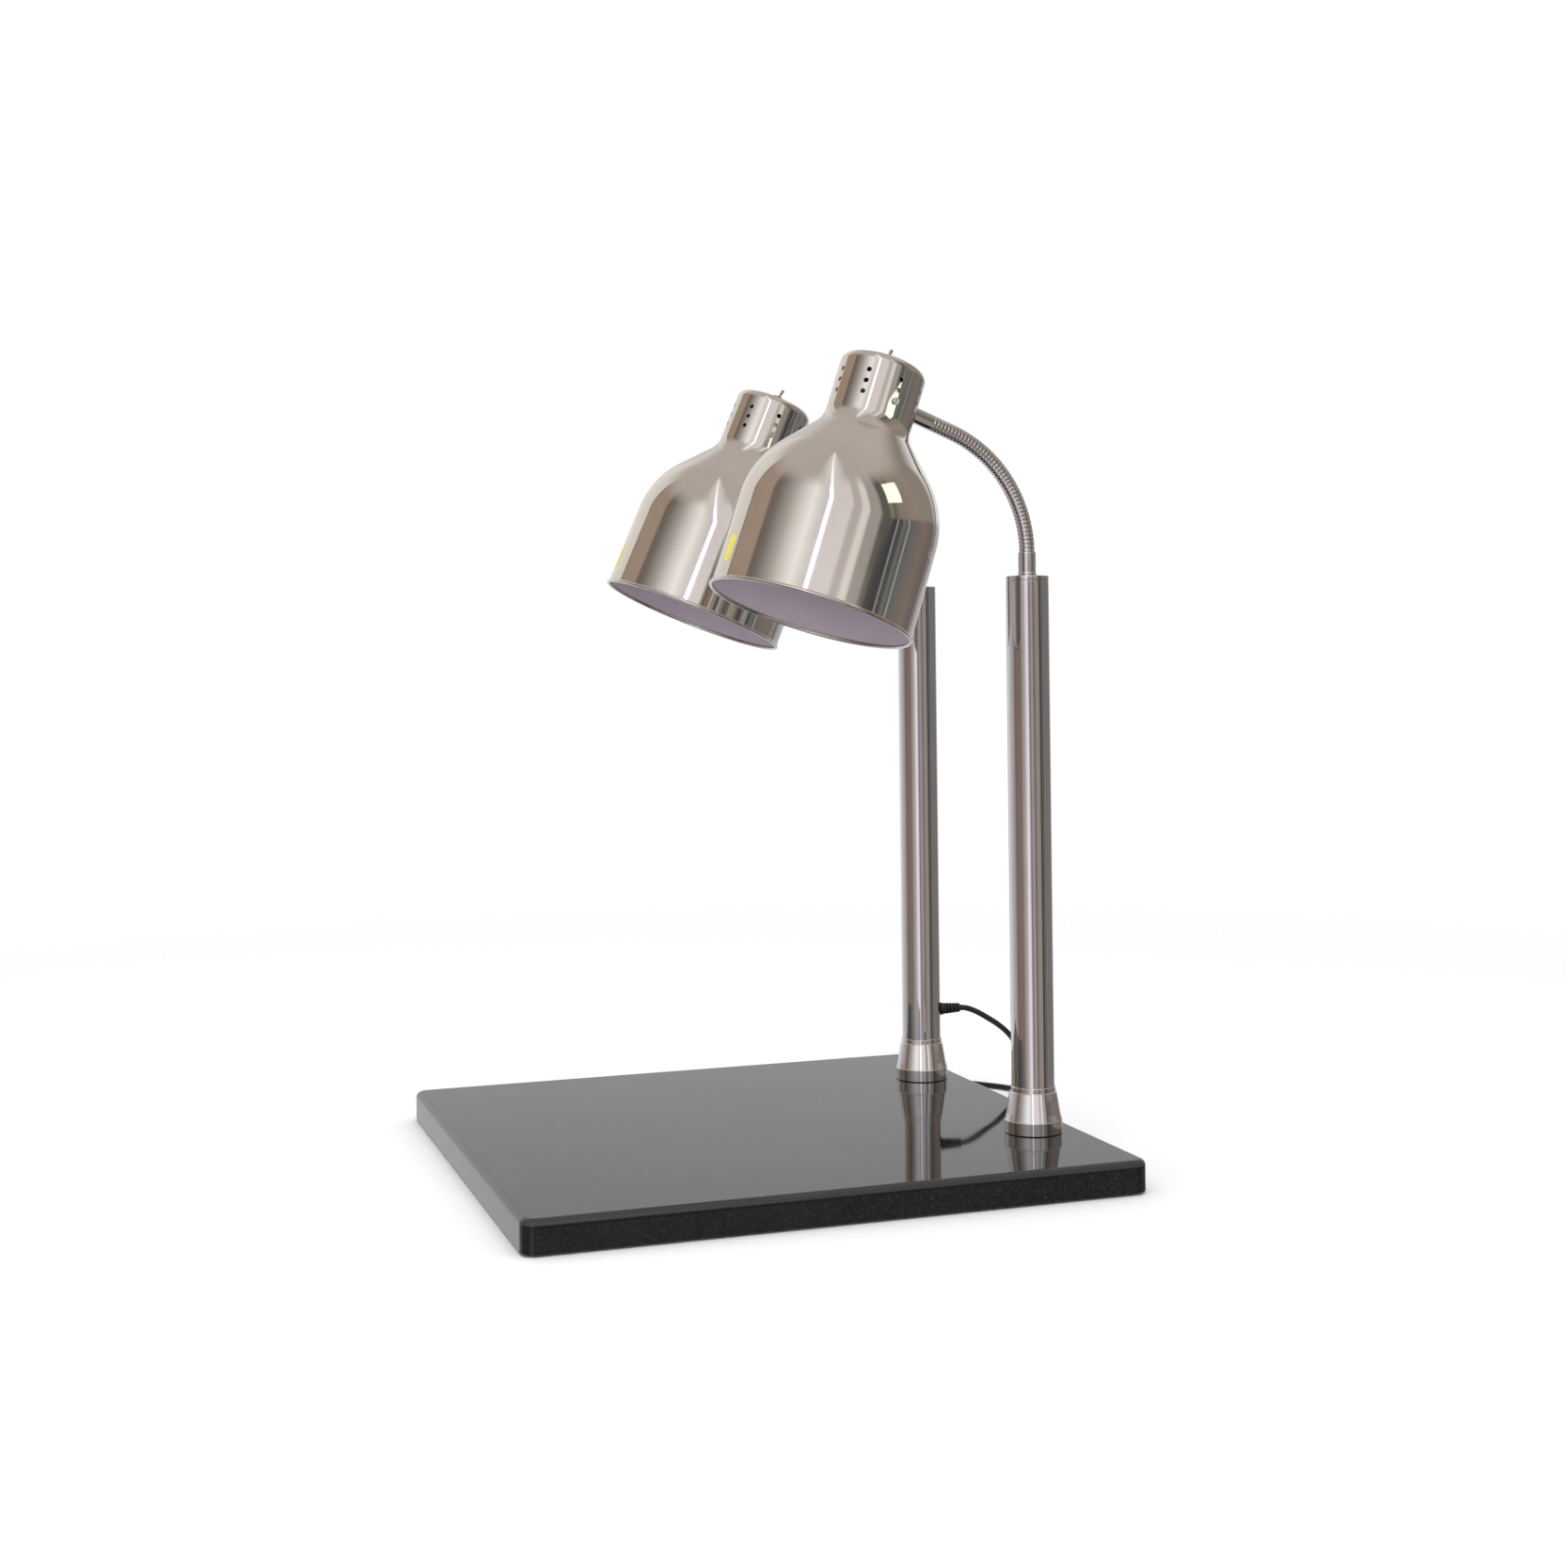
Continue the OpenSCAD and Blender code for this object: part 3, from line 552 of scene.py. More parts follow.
ROUTE = [
    (-148, 297, 109.5), (-148, 307, 108), (-148, 319, 103), (-148, 332, 95.5),
    (-148, 345, 87), (-149, 357, 77), (-150, 367, 65), (-151, 375, 51),
    (-153, 381, 37), (-157, 385, 23), (-164, 386, 12), (-174, 384, 5.6),
    (-187, 379, 3.7), (-202, 371, 3.4), (-217, 360, 3.4), (-231, 349, 3.4),
    (-246, 339, 3.4), (-262, 331, 3.4), (-279, 328, 3.4), (-291, 325, 3.4),
    (-300, 318, 3.4), (-305, 309, 3.4), (-306.5, 298, 3.4), (-306.5, 280, 3.4),
    (-306.5, 264, 3.4), (-306.5, 250, 3.4),
]
TAIL_ROUTE = [
    (-312.9, 250, 14.5), (-313, 238, 15.3), (-313.4, 226, 14), (-314.2, 214, 12),
    (-315.2, 203, 11.2), (-316, 192, 11), (-316, 184, 11),
]
COIL_CENTRE = (-348, 250)
# Radius and height of each turn of the coil, in the order in which it was wound
TURNS = [(41.5, 3.4), (35.1, 3.4), (28.7, 3.4), (31.9, 8.95), (38.3, 8.95), (35.1, 14.5)]
CROSSING_FROM = 300  # degrees of a turn at which the cord starts across to the next one


def coil_turns():
    """The coil's turns, clockwise from above, each crossing to the next over its last part."""
    steps = 72
    made = []
    for turn, (here, after) in enumerate(zip(TURNS, TURNS[1:])):
        for k in range(steps):
            degrees = 360 * k / steps
            t = max(0.0, (degrees - CROSSING_FROM) / (360 - CROSSING_FROM))
            share = t * t * (3 - 2 * t)
            radius = here[0] + (after[0] - here[0]) * share
            height = here[1] + (after[1] - here[1]) * share
            if turn == 2:  # it rolls up over the crossing before it, which it touches
                under = TURNS[1][0] + (TURNS[2][0] - TURNS[1][0]) * share
                lean = math.radians(180 - 120 * share)
                radius = under + 2 * CORD_R * math.cos(lean)
                height = here[1] + 2 * CORD_R * math.sin(lean)
            if turn == 4:  # it clears the turn below in a low hump
                height += math.sin(math.pi * share)
            a = -math.radians(degrees)
            made.append((COIL_CENTRE[0] + radius * math.cos(a),
                         COIL_CENTRE[1] + radius * math.sin(a), height))
    return made


def add_cord(material):
    """The mains cord as one curve, from the strain relief through the coil to the plug."""
    points = [*catmull(ROUTE, 4)[:-1], *coil_turns(), *catmull(TAIL_ROUTE, 4)]
    points = [Vector(p) * MM for p in points]
    data = bpy.data.curves.new("mains_lead", "CURVE")
    data.dimensions = "3D"
    data.bevel_depth = CORD_R * MM
    data.bevel_resolution = 6
    data.use_fill_caps = True
    spline = data.splines.new("POLY")
    spline.points.add(len(points) - 1)
    for target, point in zip(spline.points, points):
        target.co = (*point, 1)
    spline.use_smooth = True
    lead = new_object("mains_lead", data)
    finish_piece(lead, "base", "cable", material, "mains_cord", "cord_coil", "cord_tail")
    length = sum((b - a).length for a, b in zip(points, points[1:]))
    return lead, points[0], length


def add_tie(material):
    """A hook-and-loop strap round the coil's far side."""
    inner, outer, top = 23.7, 46.1, 13.4
    width, thick = 9, 1
    loop = eased([(inner, 0.1), (outer, 0.1), (outer, top), (inner, top)], 3.0, True, 5)
    rim = eased([(inner + thick, thick), (outer - thick, thick), (outer - thick, top - thick),
                 (inner + thick, top - thick)], 2.2, True, 5)
    count = len(loop)
    points = []
    for across in (-width / 2, width / 2):
        for outline in (loop, rim):
            points += [(-r, across, z) for r, z in outline]
    faces = []
    for j in range(count):
        n = (j + 1) % count
        near_out, near_in, far_out, far_in = (j + count * k for k in range(4))
        n_near_out, n_near_in, n_far_out, n_far_in = (n + count * k for k in range(4))
        faces += [(near_out, n_near_out, n_far_out, far_out), (near_in, far_in, n_far_in, n_near_in),
                  (near_out, near_in, n_near_in, n_near_out), (far_out, n_far_out, n_far_in, far_in)]
    tie = make_mesh("cord_strap", points, faces, moved(*COIL_CENTRE, 0))
    return finish_piece(tie, "base", "rubber", material, "cord_tie")


def add_plug(plastic, brass):
    """A moulded plug: a ribbed grip that narrows to its cord, over the CAD pins."""
    paint_nodes(["plug_pins"], brass)
    # Distance from the cord's end, half width, half height and corner radius of each section
    sections = [
        (0, 4.6, 4.6, 4.5), (1.2, 5.2, 5.2, 5.0), (4, 5.6, 5.6, 5.3), (7, 6.6, 6.4, 5.4),
        (10, 9.4, 8.4, 5.4), (13, 11.8, 10.0, 5.2), (16, 12.8, 10.8, 5.0), (20, 13.0, 11.0, 5.0),
        (30, 13.0, 11.0, 5.0), (34, 13.0, 11.0, 5.0), (35.4, 12.6, 10.6, 4.8), (36, 11.8, 9.8, 4.4),
    ]
    at = np.array([s[0] for s in sections], float)
    shape = np.array([s[1:] for s in sections], float)
    grip_from, grip_to, rib_pitch, rib_depth = 17, 32, 3.0, 0.55
    stations = np.linspace(0, sections[-1][0], 145)

    def section(k):
        d = stations[k]
        half_w, half_h, corner = (float(np.interp(d, at, shape[:, c])) for c in range(3))
        groove = 0.0
        if grip_from < d < grip_to:
            groove = rib_depth * max(0.0, math.cos((d - grip_from) * 2 * math.pi / rib_pitch)) ** 3
        ring = []
        for corner_x, corner_y, start in ((1, 1, 0), (-1, 1, 90), (-1, -1, 180), (1, -1, 270)):
            for j in range(9):
                a = math.radians(start + 90 * j / 8)
                x = corner_x * (half_w - corner) + corner * math.cos(a)
                y = corner_y * (half_h - corner) + corner * math.sin(a)
                grip = max(0.0, abs(math.cos(math.atan2(y, x)))) ** 2
                ring.append((y, x - math.copysign(groove * grip, x)))
        return ring

    x, y, z = TAIL_ROUTE[-1]
    plug = swept("plug_moulding", [(x, y - d, z) for d in stations], section, 50)
    return finish_piece(plug, "base", "plastic", plastic, "plug_body")


# ---------- base and posts ----------


def add_post(side, look):
    """A post's tube, the turned cap that closes it and the flared collar at its foot."""
    name = SIDE_NAME[side]
    place = post_place(side)
    bore, low, high = POST_R - POST_WALL, BASE_TOP + GAP, POST_TOP - CAP_H - 0.15
    tube = eased([(bore, low), (POST_R, low), (POST_R, high), (bore, high)], 0.25, True)
    post = turned(f"{name}_post_tube", tube, place, True, 160)
    if side == LEFT:
        exit_place = place @ moved(0, POST_R - 3, BASE_TOP + EXIT_H) @ turned_by(-90, "X")
        cut_away(post, round_cutter(exit_place, 5, 8, 40))
    finish_piece(post, "base", "chrome", look["chrome"], f"{name}_post")

    edge_line = POST_TOP - CAP_H
    cap = eased([(6.05, CAP_LOW), (bore - GAP, CAP_LOW), (bore - GAP, edge_line), (POST_R, edge_line),
                 (POST_R, POST_TOP), (6.05, POST_TOP)], 0.7, True, 5)
    finish_piece(turned(f"{name}_turned_cap", cap, place, True, 160),
                 "base", "chrome", look["chrome"], f"{name}_post_cap")

    lip_r, bore_r, cone_top = POST_R + 1.6, POST_R + 0.1, BAND_H + CONE_H
    top = cone_top + LIP_H
    collar = [(bore_r, 0), (COLLAR_R - 0.5, 0), (COLLAR_R, 0.6), (COLLAR_R, BAND_H - 0.5),
              (COLLAR_R - 0.5, BAND_H), (COLLAR_R - 1.9, BAND_H + 6), (lip_r + 1.6, cone_top - 7),
              (lip_r + 0.3, cone_top), (lip_r - 0.5, cone_top + 0.3), (lip_r - 0.7, top - 0.5),
              (lip_r - 1.2, top), (bore_r, top)]
    collar = [(r, z + BASE_TOP + GAP) for r, z in eased(collar, 0.35, True)]
    finish_piece(turned(f"{name}_turned_collar", collar, place, True, 160, 25),
                 "base", "chrome", look["chrome"], f"{name}_post_collar")


def add_strain_relief(material):
    """A tapered rubber sleeve with slots that let it bend, on the left post."""
    length, foot_r, tip_r, core_r = 25.5, 7, 5, 4.2
    outline = [(CORD_R, GAP), (foot_r - 0.4, GAP), (foot_r, 0.5), (foot_r, 3.6), (foot_r - 0.6, 4.4)]
    slots, first, pitch, slot = 4, 7.5, 4, 1.5
    for k in range(slots):
        low = first + k * pitch
        for z, deep in ((low, False), (low + 0.1, True), (low + slot - 0.1, True), (low + slot, False)):
            rim = foot_r - 0.6 + (tip_r - foot_r + 0.6) * (z - 4.4) / (length - 4.4)
            outline.append((core_r if deep else rim, z))
    outline += [(tip_r + 0.05, length - 0.8), (tip_r - 0.5, length - GAP), (CORD_R, length - GAP)]
    place = moved(-POST_X, POST_Y + POST_R, BASE_TOP + EXIT_H) @ turned_by(-90, "X")
    relief = turned("cord_sleeve", eased(outline, 0.3, True), place, True, 64, 50)
    return finish_piece(relief, "base", "rubber", material, "strain_relief")


# ---------- arms ----------

RIDGE_PITCH, RIDGE_DEPTH = 4.15, 0.75
FERRULE = 24  # length of the smooth ferrule at the lamp's end of an arm


def arm_point(side, distance):
    """A point on the arm's centre line, from the top of its sleeve."""
    index = max(0, min(int(distance // LINK), 4))
    rest = distance - index * LINK
    place = link_place(side, index)
    if index == 4:
        return place @ Vector((0, 0, rest))
    bend = math.radians(BENDS[side][index])
    radius = LINK / bend
    a = rest / radius
    return place @ Vector((0, -radius + radius * math.cos(a), radius * math.sin(a)))


def ridge_radius(distance, angle):
    """Radius of the wound arm: round wire turns that meet in narrow grooves."""
    phase = (distance / RIDGE_PITCH + angle / (2 * math.pi)) % 1.0
    crown = math.sqrt(max(0.0, 1 - (2 * phase - 1) ** 4))
    return ARM_R - RIDGE_DEPTH + RIDGE_DEPTH * crown


def add_arm_part(side, name, start, end, material):
    """A stretch of the wound arm between two distances along its centre line."""
    sides, rings_per_ridge = 56, 12
    count = max(2, round((end - start) / (RIDGE_PITCH / rings_per_ridge)))
    stations = [start + (end - start) * k / count for k in range(count + 1)]

    def section(k):
        made = []
        for j in range(sides):
            a = 2 * math.pi * j / sides
            r = ridge_radius(stations[k], a)
            made.append((r * math.cos(a), r * math.sin(a)))
        return made

    centres = [arm_point(side, d) for d in stations]
    part = swept(f"{SIDE_NAME[side]}_{name}", centres, section, sharp=75)
    part.data.materials.append(material)
    return part


def add_arm(side, look):
    """An arm in five stretches, three of which bend across a joint, with its end pieces."""
    name = SIDE_NAME[side]
    half = LINK / 2
    bodies = [f"{name}_arm_{part}" for part in ("lower", "middle", "upper")] + [f"{name}_head"]
    foot = add_arm_part(side, "wound_arm_foot", -3, half, look["arm"])
    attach(foot, bodies[0])
    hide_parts(f"{name}_arm_link_1")
    for k in range(3):
        joint = (k + 1) * LINK
        part = add_arm_part(side, f"wound_arm_{k + 1}", joint - half, joint + half, look["arm"])
        reach = 0.8 * half
        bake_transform(part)
        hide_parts(f"{name}_arm_link_{k + 2}")
    neck = 4 * LINK + TAIL - NECK_R
    head = add_arm_part(side, "wound_arm_head", 3.5 * LINK, neck - FERRULE + 3, look["arm"])
    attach(head, bodies[3])

    reach, ferrule_r, bore = TAIL - NECK_R + 0.5, ARM_R + 0.15, 3.6
    ferrule = [(bore, reach - FERRULE), (ferrule_r, reach - FERRULE), (ferrule_r, reach),
               (5, reach), (5, TAIL - 33), (bore, TAIL - 33)]
    ferrule = turned(f"{name}_ferrule", eased(ferrule, 0.5, True), link_place(side, 4), True, 96)
    finish_piece(ferrule, bodies[3], "chrome", look["chrome"], f"{name}_arm_tail")

    low = POST_TOP + 0.1
    flange_r, flange_h, high = SLEEVE_R + 0.5, 2.8, low + SLEEVE_H - 0.1
    sleeve = [(4.4, CAP_LOW), (6, CAP_LOW), (6, low), (flange_r, low), (flange_r, low + flange_h),
              (SLEEVE_R, low + flange_h + 0.6), (SLEEVE_R, high), (ARM_R - 1, high)]
    place = post_place(side) @ turned_by(TURN[side], "Z")
    sleeve = turned(f"{name}_sleeve", eased(sleeve, 0.6, True), place, True, 96)
    finish_piece(sleeve, bodies[0], "chrome", look["chrome"], f"{name}_arm_sleeve")


# ---------- lamps ----------

WALL_STEPS, SHOULDER_STEPS, BLEND_STEPS, EDGE_STEPS, BEAD_STEPS = 12, 32, 16, 16, 24


def shade_skin(inset):
    """The shade's outline from rim to top, inset millimetres inside its outer face, with
    the direction of its outward normal at each point, in degrees from the +R direction."""
    slope = math.degrees(SLOPE)
    slope_r = BODY_R - SHOULDER_R * (1 - math.cos(SLOPE))
    slope_s = SHOULDER_S + SHOULDER_R * math.sin(SLOPE)
    corner_s = slope_s + (slope_r - NECK_R) / math.tan(SLOPE)
    blend_s = corner_s + BLEND_R * math.tan(SLOPE / 2)
    made = []
    for k in range(WALL_STEPS + 1):
        t = k / WALL_STEPS
        s = 2 + (SHOULDER_S - 2) * t
        made.append((MOUTH_R + (BODY_R - MOUTH_R) * t - inset, s, 0))
    for k in range(1, SHOULDER_STEPS + 1):
        a = slope * k / SHOULDER_STEPS
        r, s = arc(BODY_R - SHOULDER_R, SHOULDER_S, SHOULDER_R - inset, a, a, 1)[0]
        made.append((r, s, a))
    for k in range(BLEND_STEPS + 1):
        a = 180 + slope * (1 - k / BLEND_STEPS)
        r, s = arc(NECK_R + BLEND_R, blend_s, BLEND_R + inset, a, a, 1)[0]
        made.append((r, s, slope * (1 - k / BLEND_STEPS)))
    for k in range(EDGE_STEPS + 1):
        a = 90 * k / EDGE_STEPS
        r, s = arc(NECK_R - TOP_EDGE_R, SHADE_H - TOP_EDGE_R, TOP_EDGE_R - inset, a, a, 1)[0]
        made.append((r, s, a))
    made.append((BUSHING_R + 0.1, SHADE_H - inset, 90))
    return made


def shade_outline():
    """The whole closed section of the sheet: outer face, hole for the switch, inner face
    and the rolled bead round the rim. Each point has its normal's direction."""
    outer = shade_skin(0)
    inner = [(r, s, a + 180) for r, s, a in shade_skin(SHEET)]
    bead = []
    bead_from, bead_to = 168, 425
    for k in range(BEAD_STEPS + 1):
        a = bead_from + (bead_to - bead_from) * k / BEAD_STEPS
        r, s = arc(MOUTH_R, 0, BEAD_R, a, a, 1)[0]
        bead.append((r, s, a))
    return bead + outer + inner[::-1]


def nearest_on(outline, at, near=None):
    """The outline's segment nearest to each (radius, height) point, and its normal's angle
    there. With near, only the segments within three of those are looked at."""
    starts = np.array([(r * MM, s * MM) for r, s, _ in outline])
    angles = np.radians([a for _, _, a in outline])
    spans = np.roll(starts, -1, axis=0) - starts
    turns = (np.roll(angles, -1) - angles + math.pi) % (2 * math.pi) - math.pi
    size = len(starts)
    if near is None:
        choice = np.broadcast_to(np.arange(size), (len(at), size))
    else:
        choice = (near[:, None] + np.arange(-3, 4)) % size
    offset = at[:, None] - starts[choice]
    share = (offset * spans[choice]).sum(2) / np.maximum((spans[choice] ** 2).sum(2), 1e-12)
    share = np.clip(share, 0, 1)
    gap = ((offset - spans[choice] * share[..., None]) ** 2).sum(2)
    best = gap.argmin(1)
    rows = np.arange(len(at))
    found = choice[rows, best]
    return found, angles[found] + turns[found] * share[rows, best]


def values_of(items, attribute, width=1, kind=float):
    """One attribute of a mesh's items, as an array with a row for each."""
    made = np.empty(len(items) * width, kind)
    items.foreach_get(attribute, made)
    return made.reshape(-1, width) if width > 1 else made


def dress_shade(shade, outline):
    """Gives every corner of the shade's mesh the exact normal of the turned outline, also
    beside the vent holes, and the inner face its enamel."""
    mesh = shade.data
    centres, flats = values_of(mesh.polygons, "center", 3), values_of(mesh.polygons, "normal", 3)
    radius = np.maximum(np.hypot(centres[:, 0], centres[:, 1]), 1e-9)
    found, angle = nearest_on(outline, np.stack([radius, centres[:, 2]], 1))
    slant = (flats[:, 0] * centres[:, 0] + flats[:, 1] * centres[:, 1]) / radius
    skin = slant * np.cos(angle) + flats[:, 2] * np.sin(angle) > 0.8
    first_inner, last_inner = BEAD_STEPS + 1 + len(shade_skin(0)), len(outline) - 1
    inside = (found >= first_inner) & (found < last_inner)
    mesh.polygons.foreach_set("material_index", inside.astype(np.int32))

    sizes = values_of(mesh.polygons, "loop_total", kind=np.int32)
    owner = np.repeat(np.arange(len(sizes)), sizes)
    points = values_of(mesh.vertices, "co", 3)[values_of(mesh.loops, "vertex_index", kind=np.int32)]
    reach = np.maximum(np.hypot(points[:, 0], points[:, 1]), 1e-9)
    _, tilt = nearest_on(outline, np.stack([reach, points[:, 2]], 1), found[owner])
    round_normals = np.stack([np.cos(tilt) * points[:, 0] / reach,
                              np.cos(tilt) * points[:, 1] / reach, np.sin(tilt)], 1)
    normals = np.where(skin[owner, None], round_normals, flats[owner])
    mesh.normals_split_custom_set(normals.tolist())


def vent_places():
    """The vents: seven columns of three, with none on the arm's side."""
    for degrees in (0, 45, 90, 135, 225, 270, 315):
        for row in range(3):
            yield (turned_by(degrees, "Z") @ moved(0, 5 - NECK_R, VENT_S + row * VENT_PITCH)
                   @ turned_by(90, "X"))


def add_shade(side, look):
    """A spun shade with its vents and the hole for the arm, enamelled inside."""
    name = SIDE_NAME[side]
    outline = shade_outline()
    points, faces = lathe([(r, s) for r, s, _ in outline], 192, True)
    shade = make_mesh(f"{name}_spun_shade", points, faces)
    arm_hole = moved(0, NECK_R - 5, ENTRY_S) @ turned_by(-90, "X")
    cutters = [round_cutter(vent, VENT_R, 10, 28) for vent in vent_places()]
    cutters.append(round_cutter(arm_hole, 5.1, 10, 28))
    with bpy.context.temp_override(active_object=cutters[0], selected_editable_objects=cutters):
        bpy.ops.object.join()
    cut_away(shade, cutters[0])
    shade.data.materials.clear()
    shade.data.materials.append(look["steel"])
    shade.data.materials.append(look["enamel"])
    dress_shade(shade, outline)
    shade.matrix_world = metres(lamp_place(side))
    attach(shade, f"{name}_head")
    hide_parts(f"{name}_shade")


def add_label(side, look):
    """A blank yellow label low on the front of the shade, a little to its left."""
    name = SIDE_NAME[side]
    width, low, high, corner, centre = 14, 17, 43, 2.5, -3
    front, back = 0.25, 0.02  # how far the label's two faces stand off the sheet
    rows, columns = 12, 12
    grid = []
    for i in range(rows + 1):
        s = low + (high - low) * i / rows
        inset = 0.0
        for edge in (s - low, high - s):
            if edge < corner:
                inset = corner - math.sqrt(max(0.0, corner ** 2 - (corner - edge) ** 2))
        half = width / 2 - inset
        grid.append([(-half + 2 * half * j / columns, s) for j in range(columns + 1)])
    points = []
    for level in (front, back):
        for row in grid:
            for x, s in row:
                r = MOUTH_R + (BODY_R - MOUTH_R) * s / SHOULDER_S + level
                a = -math.pi / 2 + (centre + x) / MOUTH_R
                points.append((r * math.cos(a), r * math.sin(a), s))
    span, layer = columns + 1, (rows + 1) * (columns + 1)
    faces = []
    for i in range(rows):
        for j in range(columns):
            k = i * span + j
            faces.append((k, k + 1, k + span + 1, k + span))
            faces.append((layer + k, layer + k + span, layer + k + span + 1, layer + k + 1))
    border = [*range(columns)] + [i * span + columns for i in range(rows)]
    border += [rows * span + j for j in range(columns, 0, -1)] + [i * span for i in range(rows, 0, -1)]
    for a, b in zip(border, border[1:] + border[:1]):
        faces.append((a, layer + a, layer + b, b))
    label = make_mesh(f"{name}_label", points, faces, lamp_place(side), 60)
    finish_piece(label, f"{name}_head", "shade_steel", look["label"])


def add_lamp_inside(side, look):
    """A lamp's bulb and toggle, and the finishes of its small CAD parts."""
    name = SIDE_NAME[side]
    place = lamp_place(side)
    # Radius and depth of the reflector bulb's outline, from the middle of its face
    skin = [(0, 0), (20, 1.4), (34, 4.2), (46, 9.2), *arc(BULB_R - 22, 32, 22, -46, 36, 14),
            (54.5, 57.5), (47.5, 70), (39.5, 85), (31.5, 99), (25.5, 109), (20.8, 120), (18.2, 132),
            (17.2, 142), (16.4, 150), (13, BULB_H), (0, BULB_H)]
    curve = [(p.x, p.y) for p in catmull([(r, s, 0) for r, s in skin[:-3]], 4)] + skin[-3:]
    curve = [(max(0.0, r), s + BULB_RECESS) for r, s in curve]
    bulb = turned(f"{name}_bulb", curve, place, False, 128, 60)
    finish_piece(bulb, f"{name}_head", "bulb_glass", look["bulb"], f"{name}_bulb_glass")
    pivot_s = SHADE_H + BUSHING_H - 4
    reach = LEVER_H - BUSHING_H + 4
    bat = [(0, -2), (LEVER_R - 0.3, -2), (LEVER_R - 0.25, 2), (LEVER_R + 0.2, reach - 3.2),
           *arc(0, reach - LEVER_R - 0.3, LEVER_R + 0.3, 0, 90, 8)]
    lever = turned(f"{name}_toggle", [*bat[:-1], (0, reach)],
                   place @ moved(0, 0, pivot_s) @ turned_by(-LEVER_TILT, "X"), False, 40, 60)
    finish_piece(lever, f"{name}_switch", "chrome", look["lever"], f"{name}_switch_lever")
    for part, finish in (("lampholder", "ceramic"), ("holder_bracket", "zinc"),
                         ("bracket_screws", "zinc"), ("arm_nut", "zinc"), ("bulb_cap", "cap"),
                         ("switch_body", "plastic"), ("switch_nut", "chrome")):
        paint_nodes([f"{name}_{part}"], look[finish])


# ---------- stage ----------

# What the polished metal mirrors, by the angle to the right of the camera's side, in
# degrees: low along the horizon, and higher up. Wide soft cards stand between dark flags.
LOW_CARDS = [
    (-180, (0.80, 0.80, 0.80)), (-142, (0.85, 0.85, 0.85)), (-118, (0.60, 0.60, 0.61)),
    (-98, (0.50, 0.43, 0.43)), (-90, (0.42, 0.32, 0.31)), (-84, (0.25, 0.17, 0.15)),
    (-66, (0.28, 0.21, 0.175)), (-50, (0.27, 0.21, 0.18)), (-44, (0.34, 0.27, 0.24)),
    (-38, (0.50, 0.41, 0.37)), (-30, (0.54, 0.46, 0.43)), (-22, (0.72, 0.66, 0.63)),
    (-18, (1.00, 0.94, 0.94)), (-6, (1.10, 0.98, 1.06)), (-3, (0.42, 0.35, 0.39)),
    (2, (0.30, 0.24, 0.28)), (10, (0.46, 0.40, 0.38)), (18, (0.52, 0.45, 0.42)),
    (21, (0.24, 0.17, 0.15)), (27, (0.24, 0.18, 0.15)), (31, (0.38, 0.31, 0.28)),
    (47, (0.42, 0.35, 0.30)), (53, (0.34, 0.31, 0.25)), (57, (0.12, 0.10, 0.10)),
    (68, (0.07, 0.07, 0.08)), (76, (0.11, 0.115, 0.13)), (85, (0.165, 0.165, 0.18)),
    (97, (0.23, 0.21, 0.20)), (114, (0.29, 0.23, 0.19)), (134, (0.20, 0.17, 0.17)),
    (148, (0.52, 0.50, 0.50)),
]
HIGH_CARDS = [
    (-180, (0.97, 0.92, 0.87)), (-123.5, (0.94, 0.88, 0.80)), (-122, (0.22, 0.18, 0.15)),
    (-119, (0.47, 0.36, 0.28)), (-89, (0.50, 0.36, 0.28)), (-86.5, (0.20, 0.17, 0.15)),
    (-75, (0.26, 0.23, 0.20)), (-64, (0.42, 0.38, 0.35)), (-54, (0.60, 0.54, 0.50)),
    (-45, (0.85, 0.79, 0.74)), (-27, (1.25, 1.22, 1.18)), (-17, (1.03, 0.96, 0.90)),
    (-9, (0.84, 0.80, 0.86)), (-8.2, (2.8, 2.7, 3.2)), (-5, (2.8, 2.7, 3.2)),
    (-4.2, (0.98, 0.90, 0.90)), (17, (1.02, 0.93, 0.89)), (20, (0.68, 0.62, 0.60)),
    (27, (0.70, 0.66, 0.64)), (30, (1.08, 0.98, 0.90)), (36, (1.04, 0.96, 0.90)),
    (38, (0.52, 0.46, 0.43)), (49, (0.50, 0.46, 0.43)), (52, (0.16, 0.15, 0.13)),
    (60, (0.15, 0.15, 0.13)), (64, (0.32, 0.33, 0.24)), (68, (0.16, 0.16, 0.14)),
    (74, (0.36, 0.29, 0.24)), (100, (0.42, 0.34, 0.28)), (135, (0.34, 0.30, 0.27)),
    (146, (0.90, 0.87, 0.83)), (180, (0.97, 0.92, 0.87)),
]
# Thin upright lights low along the horizon: angle, half width and colour
STRIPES = [(71, 0.8, (0.50, 0.50, 0.46)), (80, 2.0, (0.22, 0.23, 0.17)), (87, 0.9, (0.55, 0.56, 0.48))]
CEILING = (0.66, 0.58, 0.53)
BACK_WALL = (0.76, 0.745, 0.74)  # what lies opposite the camera, over the slab's far edge
# Where the low cards give way to the high ones, and those to the ceiling, as the height of
# a direction one long. Then where the back wall starts, in turns from the camera's side.
TO_HIGH, TO_CEILING, TO_BACK = (0.03, 0.09), (0.60, 0.84), (0.45, 0.465)
STREAK = -6.6  # angle of the bright streak, which goes on over the ceiling
# Its glow and its thin core there: half widths in turns, heights and colour
STREAK_PARTS = [((0.075, 0.01), (0.60, 0.72), (0.98, 0.93, 0.90)),
                ((0.007, 0.004), (0.62, 0.66), (1.7, 1.65, 1.75))]
CAMERA_SIDE = -19.15  # direction of the camera's side, in degrees from +X


def card_ramp(tree, angle, cards):
    return ramp(tree, angle, [((degrees + 180) / 360, colour) for degrees, colour in cards])


